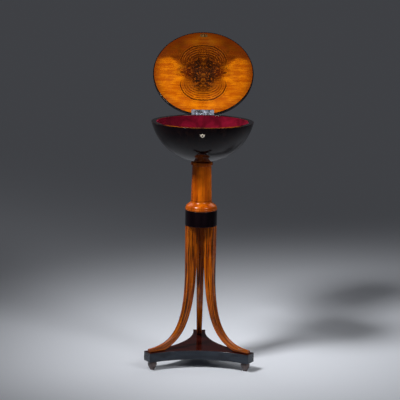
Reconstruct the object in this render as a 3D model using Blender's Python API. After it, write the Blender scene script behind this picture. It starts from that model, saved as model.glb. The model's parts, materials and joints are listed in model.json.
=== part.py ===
"""Round-lidded work table: a hinged lid over a velvet-lined bowl, on a turned column and three sabre legs.

Metres, +Z up. The column stands on the local Z axis of the empty called table, with the front at -Y.
That empty is placed so that the opened table's footprint is centred on the origin.
"""

from math import acos
from math import asin
from math import atan2
from math import cos
from math import pi
from math import radians
from math import sin
from math import sqrt

import bmesh
import bpy
from mathutils import Vector

# Clearances
FIT_GAP = 0.0003
RUN_GAP = 0.00006
SWING_GAP = 0.0005

# Bowl and its lining
BOWL_DEPTH = 0.1243
BOWL_WALL = 0.0150
RIM_ROUND = 0.0007
LINING_THICKNESS = 0.002
LINING_DROP = 0.0008

# Lid
LID_RADIUS = 0.1589
LID_OVERHANG = 0.0042
LID_THICKNESS = 0.0125
LID_ROUND = 0.003
LID_ARRIS = 0.0006
LID_GAP = 0.0006
LID_OPEN_ANGLE = radians(131.0)
VENEER_THICKNESS = 0.0012
VENEER_MARGIN = 0.001

# Hinge
HINGE_LENGTH = 0.070
HINGE_OFFSET = 0.0026
LEAF_DEPTH = 0.017
LEAF_THICKNESS = 0.0015
KNUCKLE_RADIUS = 0.0034
KNUCKLE_COUNT = 5
PIN_RADIUS = 0.0016
HINGE_SCREW_COUNT = 3
HINGE_SCREW_PITCH = 0.024
HINGE_SCREW_SETBACK = 0.0104

# Screws: head radius, shank radius, length
HINGE_SCREW_HEAD = 0.0026
HINGE_SCREW_SHANK = 0.0012
HINGE_SCREW_LENGTH = 0.0085
LOCK_SCREW_HEAD = 0.0017
LOCK_SCREW_SHANK = 0.0008
LOCK_SCREW_LENGTH = 0.007
BOWL_SCREW_HEAD = 0.005
BOWL_SCREW_SHANK = 0.0025
BOWL_SCREW_LENGTH = 0.040
LEG_SCREW_HEAD = 0.0042
LEG_SCREW_SHANK = 0.002
LEG_SCREW_BITE = 0.0065
SCREW_SLOT_WIDTH = 0.0006
SCREW_SLOT_DEPTH = 0.0006
SCREW_POINT = 0.0015
SCREW_SUNK = 0.0001

# Lock in the front of the rim, and its hooked strike on the lid
LOCK_WOOD = 0.0012
LOCK_WIDTH = 0.030
LOCK_COVER = 0.0021
LOCK_BELOW_KEYHOLE = 0.0011
LOCK_SHEET = 0.0007
LOCK_ROOM = 0.0026
SELVEDGE_WIDTH = 0.044
SELVEDGE_DEPTH = 0.0052
SELVEDGE_THICKNESS = 0.0012
LOCK_SCREW_INSET = 0.0035
HOOK_THICKNESS = 0.0016
HOOK_DROP = 0.009
HOOK_FOOT = 0.0025
HOOK_STEM = 0.003
HOOK_NOTCH = 0.004
BOLT_NOSE_HEIGHT = 0.004
BOLT_NOSE_TOP = 0.002
BOLT_TRAVEL = 0.004
BOLT_TAIL = 0.0054
BOLT_CLEARANCE = 0.0006
STRIKE_WIDTH = 0.022
STRIKE_FRONT = 0.006
STRIKE_BACK = 0.004
STRIKE_THICKNESS = 0.0012
STRIKE_SCREW_INSET = 0.0035

# Escutcheon on the outside of the bowl
ESCUTCHEON_WIDTH = 0.0165
ESCUTCHEON_HEIGHT = 0.0138
ESCUTCHEON_THICKNESS = 0.0015
ESCUTCHEON_SUNK = 0.0009
KEYHOLE_RADIUS = 0.0014
KEYHOLE_SLIT = 0.0012
KEYHOLE_LENGTH = 0.0042
KEYHOLE_RISE = 0.0012
KEYHOLE_REACH = 0.0042

# The shield's outline, as shares of half its width and half its height
SHIELD_SHOULDER = 0.8
SHIELD_VALLEY = 0.5
SHIELD_WAIST = 0.72
SHIELD_WAIST_RISE = 0.1
SHIELD_BELLY = 0.75
SHIELD_BELLY_DROP = 0.6

# Column
RING_SEAT = 0.0093
RING_RADIUS = 0.0335
RING_ROUND = 0.0025
SHAFT_LENGTH = 0.1072
SHAFT_TOP_RADIUS = 0.0293
SHAFT_FOOT_RADIUS = 0.0319
BOWL_TENON_RADIUS = 0.012
BOWL_TENON_LENGTH = 0.008
COLLAR_TENON_RADIUS = 0.014
COLLAR_TENON_LENGTH = 0.032
OGEE_HEIGHT = 0.0226
OGEE_TURN = 0.0107
OGEE_RADIUS = 0.0477
BEAD_HEIGHT = 0.0066
BEAD_RADIUS = 0.0492

# Collar drum and legs
COLLAR_RADIUS = 0.0488
COLLAR_HEIGHT = 0.0474
COLLAR_ARRIS = 0.0008
LEG_HEIGHT = 0.3789
LEG_SETBACK = 0.0005
LEG_DEPTH_TOP = 0.0310
LEG_WIDTH_TOP = 0.0262
LEG_WIDTH_TOE = 0.0155
LEG_TOE_RADIUS = 0.1752
LEG_HEEL_RADIUS = 0.1238
LEG_TOE_THICKNESS = 0.0076
LEG_OUTER_STRAIGHT = 0.138
LEG_OUTER_PULL_DOWN = 0.1744
LEG_OUTER_PULL_IN = 0.0846
LEG_OUTER_PULL_RISE = 0.0070
LEG_INNER_STRAIGHT = 0.056
LEG_INNER_PULL_DOWN = 0.248
LEG_INNER_PULL_IN = 0.0598
LEG_INNER_PULL_RISE = 0.0320
LEG_ARRIS = 0.0012
LEG_CURVE_STEPS = 13
DOWEL_RADIUS = 0.004
DOWEL_LENGTH = 0.028

# Base plate and feet
BASE_THICKNESS = 0.0290
BASE_CORNER_RADIUS = 0.1822
BASE_CORNER_WIDTH = 0.0396
BASE_WAIST = 0.0624
BASE_ARRIS = 0.0012
BASE_ARC_STEPS = 14
LEG_SCREW_PLACE = 0.1445
FOOT_PLACE = 0.1635
FOOT_HEIGHT = 0.0269
FOOT_TOP_RADIUS = 0.0124
FOOT_BELLY_RADIUS = 0.0137
FOOT_FLOOR_RADIUS = 0.0062
FOOT_BELLY_DROP = 0.0075
FOOT_FLARE = 0.2
FOOT_SPIGOT_RADIUS = 0.006
FOOT_SPIGOT_LENGTH = 0.014

# Smoothness of round pieces
BOWL_TURNS = 56
BOWL_STEPS = 10
COLUMN_TURNS = 40
MOULDING_STEPS = 6
SMALL_TURNS = 16
SCREW_TURNS = 12
WELD = 0.000001
SHARP_ANGLE = radians(32.0)

# Heights and places that follow from the sizes above
BASE_LOW = FOOT_HEIGHT + FIT_GAP
BASE_TOP = BASE_LOW + BASE_THICKNESS
LEG_LOW = BASE_TOP + FIT_GAP
LEG_TOP = LEG_LOW + LEG_HEIGHT
COLLAR_LOW = LEG_TOP + FIT_GAP
COLLAR_TOP = COLLAR_LOW + COLLAR_HEIGHT
BEAD_LOW = COLLAR_TOP + FIT_GAP
BEAD_TOP = BEAD_LOW + BEAD_HEIGHT
OGEE_TOP = BEAD_TOP + OGEE_HEIGHT
SHAFT_LOW = OGEE_TOP + FIT_GAP
SHAFT_TOP = SHAFT_LOW + SHAFT_LENGTH
RING_LOW = SHAFT_TOP + FIT_GAP
BOWL_LOW = RING_LOW + RING_SEAT
RIM_TOP = BOWL_LOW + BOWL_DEPTH
RIM_RADIUS = LID_RADIUS - LID_OVERHANG
BOWL_RADIUS = (RIM_RADIUS ** 2 + BOWL_DEPTH ** 2) / (2 * BOWL_DEPTH)
BOWL_CENTRE = BOWL_LOW + BOWL_RADIUS
BOWL_INNER = BOWL_RADIUS - BOWL_WALL
SEAT_RADIUS = BOWL_RADIUS + FIT_GAP
RIM_INNER = sqrt(BOWL_INNER ** 2 - (BOWL_CENTRE - RIM_TOP) ** 2)
HINGE_PLACE = RIM_RADIUS + HINGE_OFFSET
HINGE_TOP = RIM_TOP + LID_GAP / 2
LEG_OUTER = COLLAR_RADIUS - LEG_SETBACK
LEG_INNER = LEG_OUTER - LEG_DEPTH_TOP
DOWEL_PLACE = (LEG_OUTER + LEG_INNER) / 2
LOCK_THICKNESS = LOCK_ROOM + 2 * LOCK_SHEET + FIT_GAP
LOCK_PLACE = RIM_INNER + LOCK_WOOD + FIT_GAP + LOCK_THICKNESS / 2
LOCK_FRONT = LOCK_PLACE + LOCK_THICKNESS / 2
LOCK_DEPTH = sqrt(BOWL_RADIUS ** 2 - (LOCK_FRONT + LOCK_COVER) ** 2) - (BOWL_CENTRE - RIM_TOP)
ESCUTCHEON_DROP = LOCK_DEPTH - LOCK_BELOW_KEYHOLE
LEG_ANGLES = {"back": radians(90.0), "front_left": radians(210.0), "front_right": radians(330.0)}


def clear_scene():
    """Take every object out of the scene."""
    for thing in list(bpy.data.objects):
        bpy.data.objects.remove(thing, do_unlink=True)


def finish(name, colour, roughness, metallic=0.0):
    """A plain Principled material."""
    material = bpy.data.materials.new(name)
    material.use_nodes = True
    shader = material.node_tree.nodes["Principled BSDF"]
    shader.inputs["Base Color"].default_value = (*colour, 1.0)
    shader.inputs["Roughness"].default_value = roughness
    shader.inputs["Metallic"].default_value = metallic
    material.diffuse_color = (*colour, 1.0)
    return material


def empty(name, parent=None, location=(0.0, 0.0, 0.0), turn=(0.0, 0.0, 0.0)):
    """A guide that other pieces hang from."""
    guide = bpy.data.objects.new(name, None)
    bpy.context.scene.collection.objects.link(guide)
    guide.parent = parent
    guide.location = location
    guide.rotation_euler = turn
    return guide


def mesh_object(name, bm, material, parent, location=(0.0, 0.0, 0.0), turn=(0.0, 0.0, 0.0)):
    """Put a bmesh into a named object under its parent, with faces outward and round stretches smooth."""
    bmesh.ops.remove_doubles(bm, verts=bm.verts, dist=WELD)
    bmesh.ops.recalc_face_normals(bm, faces=bm.faces)
    mesh = bpy.data.meshes.new(name)
    bm.to_mesh(mesh)
    bm.free()
    mesh.shade_smooth()
    mesh.set_sharp_from_angle(angle=SHARP_ANGLE)
    mesh.materials.append(material)
    return place(name, mesh, parent, location, turn)


def place(name, mesh, parent, location=(0.0, 0.0, 0.0), turn=(0.0, 0.0, 0.0)):
    """An object for a mesh that is already made."""
    piece = bpy.data.objects.new(name, mesh)
    bpy.context.scene.collection.objects.link(piece)
    piece.parent = parent
    piece.location = location
    piece.rotation_euler = turn
    return piece


def turned(name, profile, turns, material, parent, location=(0.0, 0.0, 0.0), turn=(0.0, 0.0, 0.0)):
    """Spin (radius, height) points about Z: from axis to axis, or as a closed ring when off the axis."""
    bm = bmesh.new()
    points = [bm.verts.new((radius, 0.0, height)) for radius, height in profile]
    edges = [bm.edges.new(pair) for pair in zip(points, points[1:])]
    if profile[0][0] > 0.0:
        edges.append(bm.edges.new((points[-1], points[0])))
    bmesh.ops.spin(bm, geom=points + edges, cent=(0, 0, 0), axis=(0, 0, 1), angle=2 * pi, steps=turns)
    return mesh_object(name, bm, material, parent, location, turn)


def prism(name, outline, low, high, material, parent, location=(0.0, 0.0, 0.0), turn=(0.0, 0.0, 0.0)):
    """Extrude an outline of (x, y) points from one height to another."""
    bm = bmesh.new()
    face = bm.faces.new([bm.verts.new((x, y, low)) for x, y in outline])
    raised = bmesh.ops.extrude_face_region(bm, geom=[face])["geom"]
    corners = [item for item in raised if isinstance(item, bmesh.types.BMVert)]
    bmesh.ops.translate(bm, verts=corners, vec=(0.0, 0.0, high - low))
    return mesh_object(name, bm, material, parent, location, turn)


def block(name, low, high, material, parent, location=(0.0, 0.0, 0.0), turn=(0.0, 0.0, 0.0)):
    """A box between two corners."""
    outline = [(low[0], low[1]), (high[0], low[1]), (high[0], high[1]), (low[0], high[1])]
    return prism(name, outline, low[2], high[2], material, parent, location, turn)


def rod(name, radius, low, high, turns, material, parent, location=(0.0, 0.0, 0.0), turn=(0.0, 0.0, 0.0)):
    """A plain cylinder along the local Z axis."""
    circle = arc((0.0, 0.0), radius, 0.0, 2 * pi, turns)[:-1]
    return prism(name, circle, low, high, material, parent, location, turn)


def join_shape(piece, other, operation):
    """Cut another shape out of a piece, or weld it on, and keep the other one as a guide."""
    other.hide_render = True
    other.display_type = "WIRE"
    step = piece.modifiers.new(other.name, "BOOLEAN")
    step.operation = operation
    step.solver = "EXACT"
    step.object = other


def cut(piece, cutter):
    """Take the cutter's shape out of the piece."""
    join_shape(piece, cutter, "DIFFERENCE")


def weld(piece, addition):
    """Make the addition part of the piece."""
    join_shape(piece, addition, "UNION")


def ease_edges(piece, width, segments=2):
    """Round the sharp edges of a piece slightly."""
    step = piece.modifiers.new("eased_edges", "BEVEL")
    step.width = width
    step.segments = segments
    step.limit_method = "ANGLE"
    step.angle_limit = SHARP_ANGLE


def baked_mesh(piece, helpers):
    """The piece's finished mesh, to be shared by its copies; the piece and its helpers are removed."""
    graph = bpy.context.evaluated_depsgraph_get()
    mesh = bpy.data.meshes.new_from_object(piece.evaluated_get(graph))
    for thing in [piece, *helpers]:
        bpy.data.objects.remove(thing, do_unlink=True)
    return mesh


def arc(centre, radius, start, stop, steps):
    """Points on a circle in the plane of the outline, both ends included."""
    angles = [start + (stop - start) * step / steps for step in range(steps + 1)]
    return [(centre[0] + radius * cos(a), centre[1] + radius * sin(a)) for a in angles]


def bezier(start, pull_start, pull_stop, stop, steps):
    """Points on a cubic curve, both ends included."""
    points = []
    for step in range(steps + 1):
        t = step / steps
        s = 1.0 - t
        weights = (s ** 3, 3 * s * s * t, 3 * s * t * t, t ** 3)
        corners = (start, pull_start, pull_stop, stop)
        points.append(tuple(sum(w * c[i] for w, c in zip(weights, corners)) for i in (0, 1)))
    return points


def around(radius, angle):
    """A place on a circle about the column."""
    return radius * cos(angle), radius * sin(angle)


def bowl_wall(radius, top, steps):
    """Arc of a sphere about the bowl's centre, from the lowest point on the axis up to a height."""
    stop = asin((top - BOWL_CENTRE) / radius)
    points = arc((0.0, BOWL_CENTRE), radius, -pi / 2, stop, steps)
    points[0] = (0.0, BOWL_CENTRE - radius)
    return points


def screw_profile(head, shank, length, extra=0.0, rise=0.0):
    """Half outline of a countersunk wood screw whose head is flush with the local plane z = 0."""
    neck = head - shank
    return [
        (0.0, rise),
        (head + extra, rise),
        (head + extra, 0.0),
        (shank + extra, -neck),
        (shank + extra, -(length - SCREW_POINT)),
        (extra, -length - extra),
    ] + ([(0.0, -length - extra)] if extra else [])


def screw_mesh(name, head, shank, length, material):
    """A slotted countersunk screw, just under the surface that it is set into."""
    below_head = screw_profile(head, shank, length)[2:]
    piece = turned(name, [(0.0, 0.0)] + below_head, SCREW_TURNS, material, None)
    half = SCREW_SLOT_WIDTH / 2
    slot = block("slot", (-half, -2 * head, -SCREW_SLOT_DEPTH), (half, 2 * head, head), material, None)
    cut(piece, slot)
    return baked_mesh(piece, [slot])


def screw_hole(name, head, shank, length, material, parent, location, turn=(0.0, 0.0, 0.0)):
    """Cutter for a screw: its outline with the fitting gap, open upwards."""
    profile = screw_profile(head, shank, length, FIT_GAP, head)
    return turned(name, profile, SCREW_TURNS, material, parent, location, turn)


def make_bowl(table, paint):
    """Ebonised bowl: a cap of a sphere with a flat rim."""
    outer = bowl_wall(BOWL_RADIUS, RIM_TOP - RIM_ROUND, BOWL_STEPS)
    inner = bowl_wall(BOWL_INNER, RIM_TOP - RIM_ROUND, BOWL_STEPS)
    rim = [(RIM_RADIUS - RIM_ROUND, RIM_TOP), (RIM_INNER + RIM_ROUND, RIM_TOP)]
    bowl = turned("bowl_shell", outer + rim + inner[::-1], BOWL_TURNS, paint["ebonised"], table)
    hole = rod("bowl_tenon_hole", BOWL_TENON_RADIUS + FIT_GAP, BOWL_LOW - BOWL_WALL,
               BOWL_LOW + BOWL_TENON_LENGTH + FIT_GAP, SMALL_TURNS, paint["ebonised"], table)
    cut(bowl, hole)
    return bowl


def make_lining(table, paint):
    """Velvet skin inside the bowl, just under the rim."""
    outer_radius = BOWL_INNER - FIT_GAP
    outer = bowl_wall(outer_radius, RIM_TOP - LINING_DROP, BOWL_STEPS)
    inner = bowl_wall(outer_radius - LINING_THICKNESS, RIM_TOP - LINING_DROP, BOWL_STEPS)
    turned("velvet_lining", outer + inner[::-1], BOWL_TURNS, paint["velvet"], table)


def make_bowl_screw(table, paint, bowl, shaft):
    """Long screw from inside the bowl's bottom, down into the column's top tenon."""
    top = BOWL_CENTRE - BOWL_INNER - FIT_GAP
    sizes = (BOWL_SCREW_HEAD, BOWL_SCREW_SHANK, BOWL_SCREW_LENGTH)
    hole = screw_hole("bowl_screw_hole", *sizes, paint["iron"], table, (0.0, 0.0, top))
    cut(bowl, hole)
    cut(shaft, hole)
    place("bowl_screw", screw_mesh("bowl_screw", *sizes, paint["iron"]), table, (0.0, 0.0, top))


def make_column(table, paint):
    """Ring, shaft and flared foot, threaded on the shaft's own tenons."""
    tenon_top = BOWL_LOW + BOWL_TENON_LENGTH
    tenon_low = COLLAR_TOP - COLLAR_TENON_LENGTH
    shaft = turned("column_shaft", [
        (0.0, tenon_top),
        (BOWL_TENON_RADIUS, tenon_top),
        (BOWL_TENON_RADIUS, SHAFT_TOP),
        (SHAFT_TOP_RADIUS, SHAFT_TOP),
        (SHAFT_FOOT_RADIUS, SHAFT_LOW),
        (COLLAR_TENON_RADIUS, SHAFT_LOW),
        (COLLAR_TENON_RADIUS, tenon_low),
        (0.0, tenon_low),
    ], COLUMN_TURNS, paint["fruitwood"], table)

    ring_bore = BOWL_TENON_RADIUS + FIT_GAP
    edge_top = BOWL_CENTRE + SEAT_RADIUS * sin(seat_angle(RING_RADIUS))
    flat = RING_RADIUS - RING_ROUND
    shoulder = arc((flat, edge_top - RING_ROUND), RING_ROUND, pi / 2, 0.0, MOULDING_STEPS // 2)
    heel = arc((flat, RING_LOW + RING_ROUND), RING_ROUND, 0.0, -pi / 2, MOULDING_STEPS // 2)
    seat = arc((0.0, BOWL_CENTRE), SEAT_RADIUS, seat_angle(ring_bore), seat_angle(flat), MOULDING_STEPS // 2)
    ring = seat + shoulder[1:] + heel + [(ring_bore, RING_LOW)]
    turned("column_ring", ring, COLUMN_TURNS, paint["fruitwood"], table)

    foot_bore = COLLAR_TENON_RADIUS + FIT_GAP
    ogee = bezier(
        (SHAFT_FOOT_RADIUS, OGEE_TOP),
        (SHAFT_FOOT_RADIUS, OGEE_TOP - OGEE_TURN),
        (OGEE_RADIUS, OGEE_TOP - OGEE_TURN),
        (OGEE_RADIUS, BEAD_TOP),
        MOULDING_STEPS + 2,
    )
    bead = [(OGEE_RADIUS + (BEAD_RADIUS - OGEE_RADIUS) * cos(a), BEAD_LOW + BEAD_HEIGHT * (1 + sin(a)) / 2)
            for a in [pi / 2 - pi * step / MOULDING_STEPS for step in range(1, MOULDING_STEPS + 1)]]
    turned("column_foot", [(foot_bore, OGEE_TOP)] + ogee + bead + [(foot_bore, BEAD_LOW)],
           COLUMN_TURNS, paint["fruitwood"], table)
    return shaft


def seat_angle(radius):
    """Angle, about the bowl's centre, of the place on the seat at a distance from the axis."""
    return -acos(radius / SEAT_RADIUS)


def make_collar(table, paint):
    """Ebonised drum over the legs, bored for the column's tenon and for the legs' dowels."""
    low = COLLAR_LOW + COLLAR_ARRIS
    high = COLLAR_TOP - COLLAR_ARRIS
    inset = COLLAR_RADIUS - COLLAR_ARRIS
    collar = turned("collar_drum", [
        (0.0, COLLAR_TOP), (inset, COLLAR_TOP), (COLLAR_RADIUS, high),
        (COLLAR_RADIUS, low), (inset, COLLAR_LOW), (0.0, COLLAR_LOW),
    ], COLUMN_TURNS, paint["ebonised"], table)
    tenon_low = COLLAR_TOP - COLLAR_TENON_LENGTH
    socket = rod("collar_socket", COLLAR_TENON_RADIUS + FIT_GAP, tenon_low - FIT_GAP,
                 COLLAR_TOP + COLLAR_ARRIS, COLUMN_TURNS, paint["ebonised"], table)
    cut(collar, socket)
    return collar


def leg_outline():
    """Side view of a leg as (distance from the column's axis, height) points, round the outline once."""
    toe_top = LEG_LOW + LEG_TOE_THICKNESS
    outer_start = LEG_TOP - LEG_OUTER_STRAIGHT
    inner_start = LEG_TOP - LEG_INNER_STRAIGHT
    outer = bezier(
        (LEG_OUTER, outer_start),
        (LEG_OUTER, outer_start - LEG_OUTER_PULL_DOWN),
        (LEG_TOE_RADIUS - LEG_OUTER_PULL_IN, toe_top + LEG_OUTER_PULL_RISE),
        (LEG_TOE_RADIUS, toe_top),
        LEG_CURVE_STEPS,
    )
    inner = bezier(
        (LEG_HEEL_RADIUS, LEG_LOW),
        (LEG_HEEL_RADIUS - LEG_INNER_PULL_IN, LEG_LOW + LEG_INNER_PULL_RISE),
        (LEG_INNER, inner_start - LEG_INNER_PULL_DOWN),
        (LEG_INNER, inner_start),
        LEG_CURVE_STEPS,
    )
    return [(LEG_OUTER, LEG_TOP)] + outer + [(LEG_TOE_RADIUS, LEG_LOW)] + inner + [(LEG_INNER, LEG_TOP)]


def leg_half_width(height):
    """Half the leg's width: it narrows evenly from the collar to the toe."""
    share = (height - LEG_LOW) / LEG_HEIGHT
    return (LEG_WIDTH_TOE + (LEG_WIDTH_TOP - LEG_WIDTH_TOE) * share) / 2


def make_legs(table, paint, collar, base):
    """Three sabre legs with a dowel into the collar and a screw up through the base plate."""
    bm = bmesh.new()
    outline = leg_outline()
    left = [bm.verts.new((r, -leg_half_width(z), z)) for r, z in outline]
    right = [bm.verts.new((r, leg_half_width(z), z)) for r, z in outline]
    bm.faces.new(left)
    bm.faces.new(right[::-1])
    for index in range(len(outline)):
        bm.faces.new((left[index - 1], left[index], right[index], right[index - 1]))
    leg = mesh_object("leg", bm, paint["leg_wood"], None)
    ease_edges(leg, LEG_ARRIS)

    dowel_low = LEG_TOP - DOWEL_LENGTH / 2
    dowel_high = dowel_low + DOWEL_LENGTH
    hole_size = (DOWEL_RADIUS + FIT_GAP, dowel_low - FIT_GAP, dowel_high + FIT_GAP, SMALL_TURNS)
    dowel_hole = rod("dowel_hole", *hole_size, paint["leg_wood"], None, (DOWEL_PLACE, 0.0, 0.0))
    cut(leg, dowel_hole)
    length = BASE_THICKNESS + FIT_GAP + LEG_SCREW_BITE
    sizes = (LEG_SCREW_HEAD, LEG_SCREW_SHANK, length)
    upward = (pi, 0.0, 0.0)
    screw_low = BASE_LOW + SCREW_SUNK
    pilot = screw_hole("pilot", *sizes, paint["iron"], None, (LEG_SCREW_PLACE, 0.0, screw_low), upward)
    cut(leg, pilot)
    mesh = baked_mesh(leg, [dowel_hole, pilot])
    screw = screw_mesh("leg_screw", *sizes, paint["iron"])

    for name, angle in LEG_ANGLES.items():
        place(f"leg_{name}", mesh, table, turn=(0.0, 0.0, angle))
        x, y = around(DOWEL_PLACE, angle)
        rod(f"leg_dowel_{name}", DOWEL_RADIUS, dowel_low, dowel_high, SMALL_TURNS,
            paint["dowel"], table, (x, y, 0.0))
        cut(collar, rod(f"dowel_hole_{name}", *hole_size, paint["dowel"], table, (x, y, 0.0)))
        x, y = around(LEG_SCREW_PLACE, angle)
        place(f"leg_screw_{name}", screw, table, (x, y, screw_low), upward)
        hole = screw_hole(f"leg_screw_hole_{name}", *sizes, paint["iron"], table, (x, y, screw_low), upward)
        cut(base, hole)


def base_outline():
    """Three cut corners joined by hollow sides, each an arc through its two corners and the waist."""
    half = BASE_CORNER_WIDTH / 2
    corner_reach = BASE_CORNER_RADIUS * cos(pi / 3) + half * sin(pi / 3)
    corner_side = BASE_CORNER_RADIUS * sin(pi / 3) - half * cos(pi / 3)
    hollow = corner_reach - BASE_WAIST
    radius = (corner_side ** 2 + hollow ** 2) / (2 * hollow)
    spread = atan2(corner_side, radius - hollow)
    points = []
    for angle in LEG_ANGLES.values():
        facing = angle + pi / 3
        centre = around(BASE_WAIST + radius, facing)
        points += arc(centre, radius, facing + pi + spread, facing + pi - spread, BASE_ARC_STEPS)
    return points


def make_base(table, paint):
    """Three-cornered plate that the legs stand on."""
    base = prism("base_plate", base_outline(), BASE_LOW, BASE_TOP, paint["base_wood"], table)
    ease_edges(base, BASE_ARRIS)
    return base


def make_feet(table, paint, base):
    """Small turned bun feet that taper to the floor, each with a spigot glued into the base plate."""
    belly = FOOT_HEIGHT - FOOT_BELLY_DROP
    flare = FOOT_FLARE * (FOOT_BELLY_RADIUS - FOOT_FLOOR_RADIUS)
    lower = bezier((FOOT_FLOOR_RADIUS, 0.0), (FOOT_FLOOR_RADIUS + flare, belly / 4),
                   (FOOT_BELLY_RADIUS, belly / 2), (FOOT_BELLY_RADIUS, belly), MOULDING_STEPS)
    upper = bezier((FOOT_BELLY_RADIUS, belly), (FOOT_BELLY_RADIUS, FOOT_HEIGHT - FOOT_BELLY_DROP / 2),
                   (FOOT_TOP_RADIUS, FOOT_HEIGHT), (FOOT_TOP_RADIUS, FOOT_HEIGHT), MOULDING_STEPS - 2)
    spigot_top = FOOT_HEIGHT + FOOT_SPIGOT_LENGTH
    spigot = [(FOOT_SPIGOT_RADIUS, FOOT_HEIGHT), (FOOT_SPIGOT_RADIUS, spigot_top), (0.0, spigot_top)]
    profile = [(0.0, 0.0)] + lower + upper[1:] + spigot
    for name, angle in LEG_ANGLES.items():
        x, y = around(FOOT_PLACE, angle)
        turned(f"bun_foot_{name}", profile, SMALL_TURNS, paint["foot_wood"], table, (x, y, 0.0))
        socket = rod(f"spigot_hole_{name}", FOOT_SPIGOT_RADIUS + FIT_GAP, 0.0, spigot_top + FIT_GAP,
                     SMALL_TURNS, paint["base_wood"], table, (x, y, 0.0))
        cut(base, socket)


def make_lid(pivot, paint):
    """Ebonised lid panel and the figured veneer on its underside, drawn closed about the hinge's axis."""
    low = LID_GAP / 2
    high = low + LID_THICKNESS
    seam = low + VENEER_THICKNESS
    centre = (0.0, -HINGE_PLACE, 0.0)
    veneer_radius = LID_RADIUS - VENEER_MARGIN
    veneer = turned("lid_veneer", [(0.0, seam), (veneer_radius, seam), (veneer_radius, low), (0.0, low)],
                    BOWL_TURNS, paint["veneer"], pivot, centre)
    panel_low = seam + FIT_GAP
    top_edge = arc((LID_RADIUS - LID_ROUND, high - LID_ROUND), LID_ROUND, pi / 2, 0.0, MOULDING_STEPS - 2)
    low_edge = [(LID_RADIUS, panel_low + LID_ARRIS), (LID_RADIUS - LID_ARRIS, panel_low)]
    panel = turned("lid_panel", [(0.0, high)] + top_edge + low_edge + [(0.0, panel_low)],
                   BOWL_TURNS, paint["ebonised"], pivot, centre)
    return panel, veneer


def knuckle_span(index):
    """Ends of one knuckle along the hinge."""
    pitch = HINGE_LENGTH / KNUCKLE_COUNT
    start = -HINGE_LENGTH / 2 + index * pitch
    return start + FIT_GAP / 2, start + pitch - FIT_GAP / 2


def leaf_outline(own):
    """Leaf seen from above: it stops short of the knuckles, with a tongue into each of its own."""
    half = HINGE_LENGTH / 2
    root = (PIN_RADIUS + KNUCKLE_RADIUS) / 2
    edge = KNUCKLE_RADIUS + SWING_GAP
    points = [(-half, -LEAF_DEPTH), (half, -LEAF_DEPTH), (half, -edge)]
    for index in reversed(own):
        start, stop = knuckle_span(index)
        left = start + FIT_GAP
        right = stop - FIT_GAP
        points += [(right, -edge), (right, -root), (left, -root), (left, -edge)]
    return points + [(-half, -edge)]


def make_leaf(name, own, low, parent, location, paint):
    """One hinge leaf: a plate from the height low upwards, with its knuckles round the pin."""
    along_x = (0.0, pi / 2, 0.0)
    leaf = prism(name, leaf_outline(own), low, low + LEAF_THICKNESS, paint["steel"], parent, location)
    for index in own:
        start, stop = knuckle_span(index)
        knuckle = rod(f"{name}_knuckle_{index}", KNUCKLE_RADIUS, start, stop, SMALL_TURNS,
                      paint["steel"], parent, location, along_x)
        weld(leaf, knuckle)
    bore = rod(f"{name}_bore", PIN_RADIUS + RUN_GAP, -HINGE_LENGTH, HINGE_LENGTH, SMALL_TURNS,
               paint["steel"], parent, location, along_x)
    cut(leaf, bore)
    return leaf


def make_hinge(table, pivot, paint, bowl, panel, veneer):
    """Butt hinge at the back of the rim, let into the bowl and the lid, with its pin and screws."""
    axis = (0.0, HINGE_PLACE, HINGE_TOP)
    half_gap = LID_GAP / 2
    along_x = (0.0, pi / 2, 0.0)
    fixed = range(0, KNUCKLE_COUNT, 2)
    swinging = range(1, KNUCKLE_COUNT, 2)
    low_leaf = make_leaf("hinge_leaf_bowl", fixed, -half_gap - LEAF_THICKNESS, table, axis, paint)
    high_leaf = make_leaf("hinge_leaf_lid", swinging, half_gap, pivot, (0.0, 0.0, 0.0), paint)
    rod("hinge_pin", PIN_RADIUS, -HINGE_LENGTH / 2, HINGE_LENGTH / 2, SMALL_TURNS,
        paint["steel"], table, axis, along_x)

    side = HINGE_LENGTH / 2 + FIT_GAP
    back = -LEAF_DEPTH - FIT_GAP
    deep = half_gap + LEAF_THICKNESS + FIT_GAP
    bowl_seat = block("leaf_seat_bowl", (-side, back, -deep), (side, LEAF_DEPTH, deep),
                      paint["steel"], table, axis)
    lid_seat = block("leaf_seat_lid", (-side, back, -deep), (side, 0.0, deep), paint["steel"], pivot)
    groove = (KNUCKLE_RADIUS + SWING_GAP, -side, side, SMALL_TURNS)
    bowl_groove = rod("knuckle_groove_bowl", *groove, paint["steel"], table, axis, along_x)
    lid_groove = rod("knuckle_groove_lid", *groove, paint["steel"], pivot, (0.0, 0.0, 0.0), along_x)
    cut(bowl, bowl_seat)
    cut(bowl, bowl_groove)
    for piece in (panel, veneer):
        cut(piece, lid_seat)
        cut(piece, lid_groove)

    sizes = (HINGE_SCREW_HEAD, HINGE_SCREW_SHANK, HINGE_SCREW_LENGTH)
    screw = screw_mesh("hinge_screw", *sizes, paint["steel"])
    upward = (pi, 0.0, 0.0)
    for number in range(HINGE_SCREW_COUNT):
        x = (number - (HINGE_SCREW_COUNT - 1) / 2) * HINGE_SCREW_PITCH
        spot = (x, HINGE_PLACE - HINGE_SCREW_SETBACK, RIM_TOP - SCREW_SUNK)
        hole = screw_hole(f"bowl_hinge_hole_{number + 1}", *sizes, paint["steel"], table, spot)
        cut(low_leaf, hole)
        cut(bowl, hole)
        place(f"hinge_screw_bowl_{number + 1}", screw, table, spot)
        spot = (x, -HINGE_SCREW_SETBACK, half_gap + SCREW_SUNK)
        hole = screw_hole(f"lid_hinge_hole_{number + 1}", *sizes, paint["steel"], pivot, spot, upward)
        cut(high_leaf, hole)
        cut(panel, hole)
        place(f"hinge_screw_lid_{number + 1}", screw, pivot, spot, upward)


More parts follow.
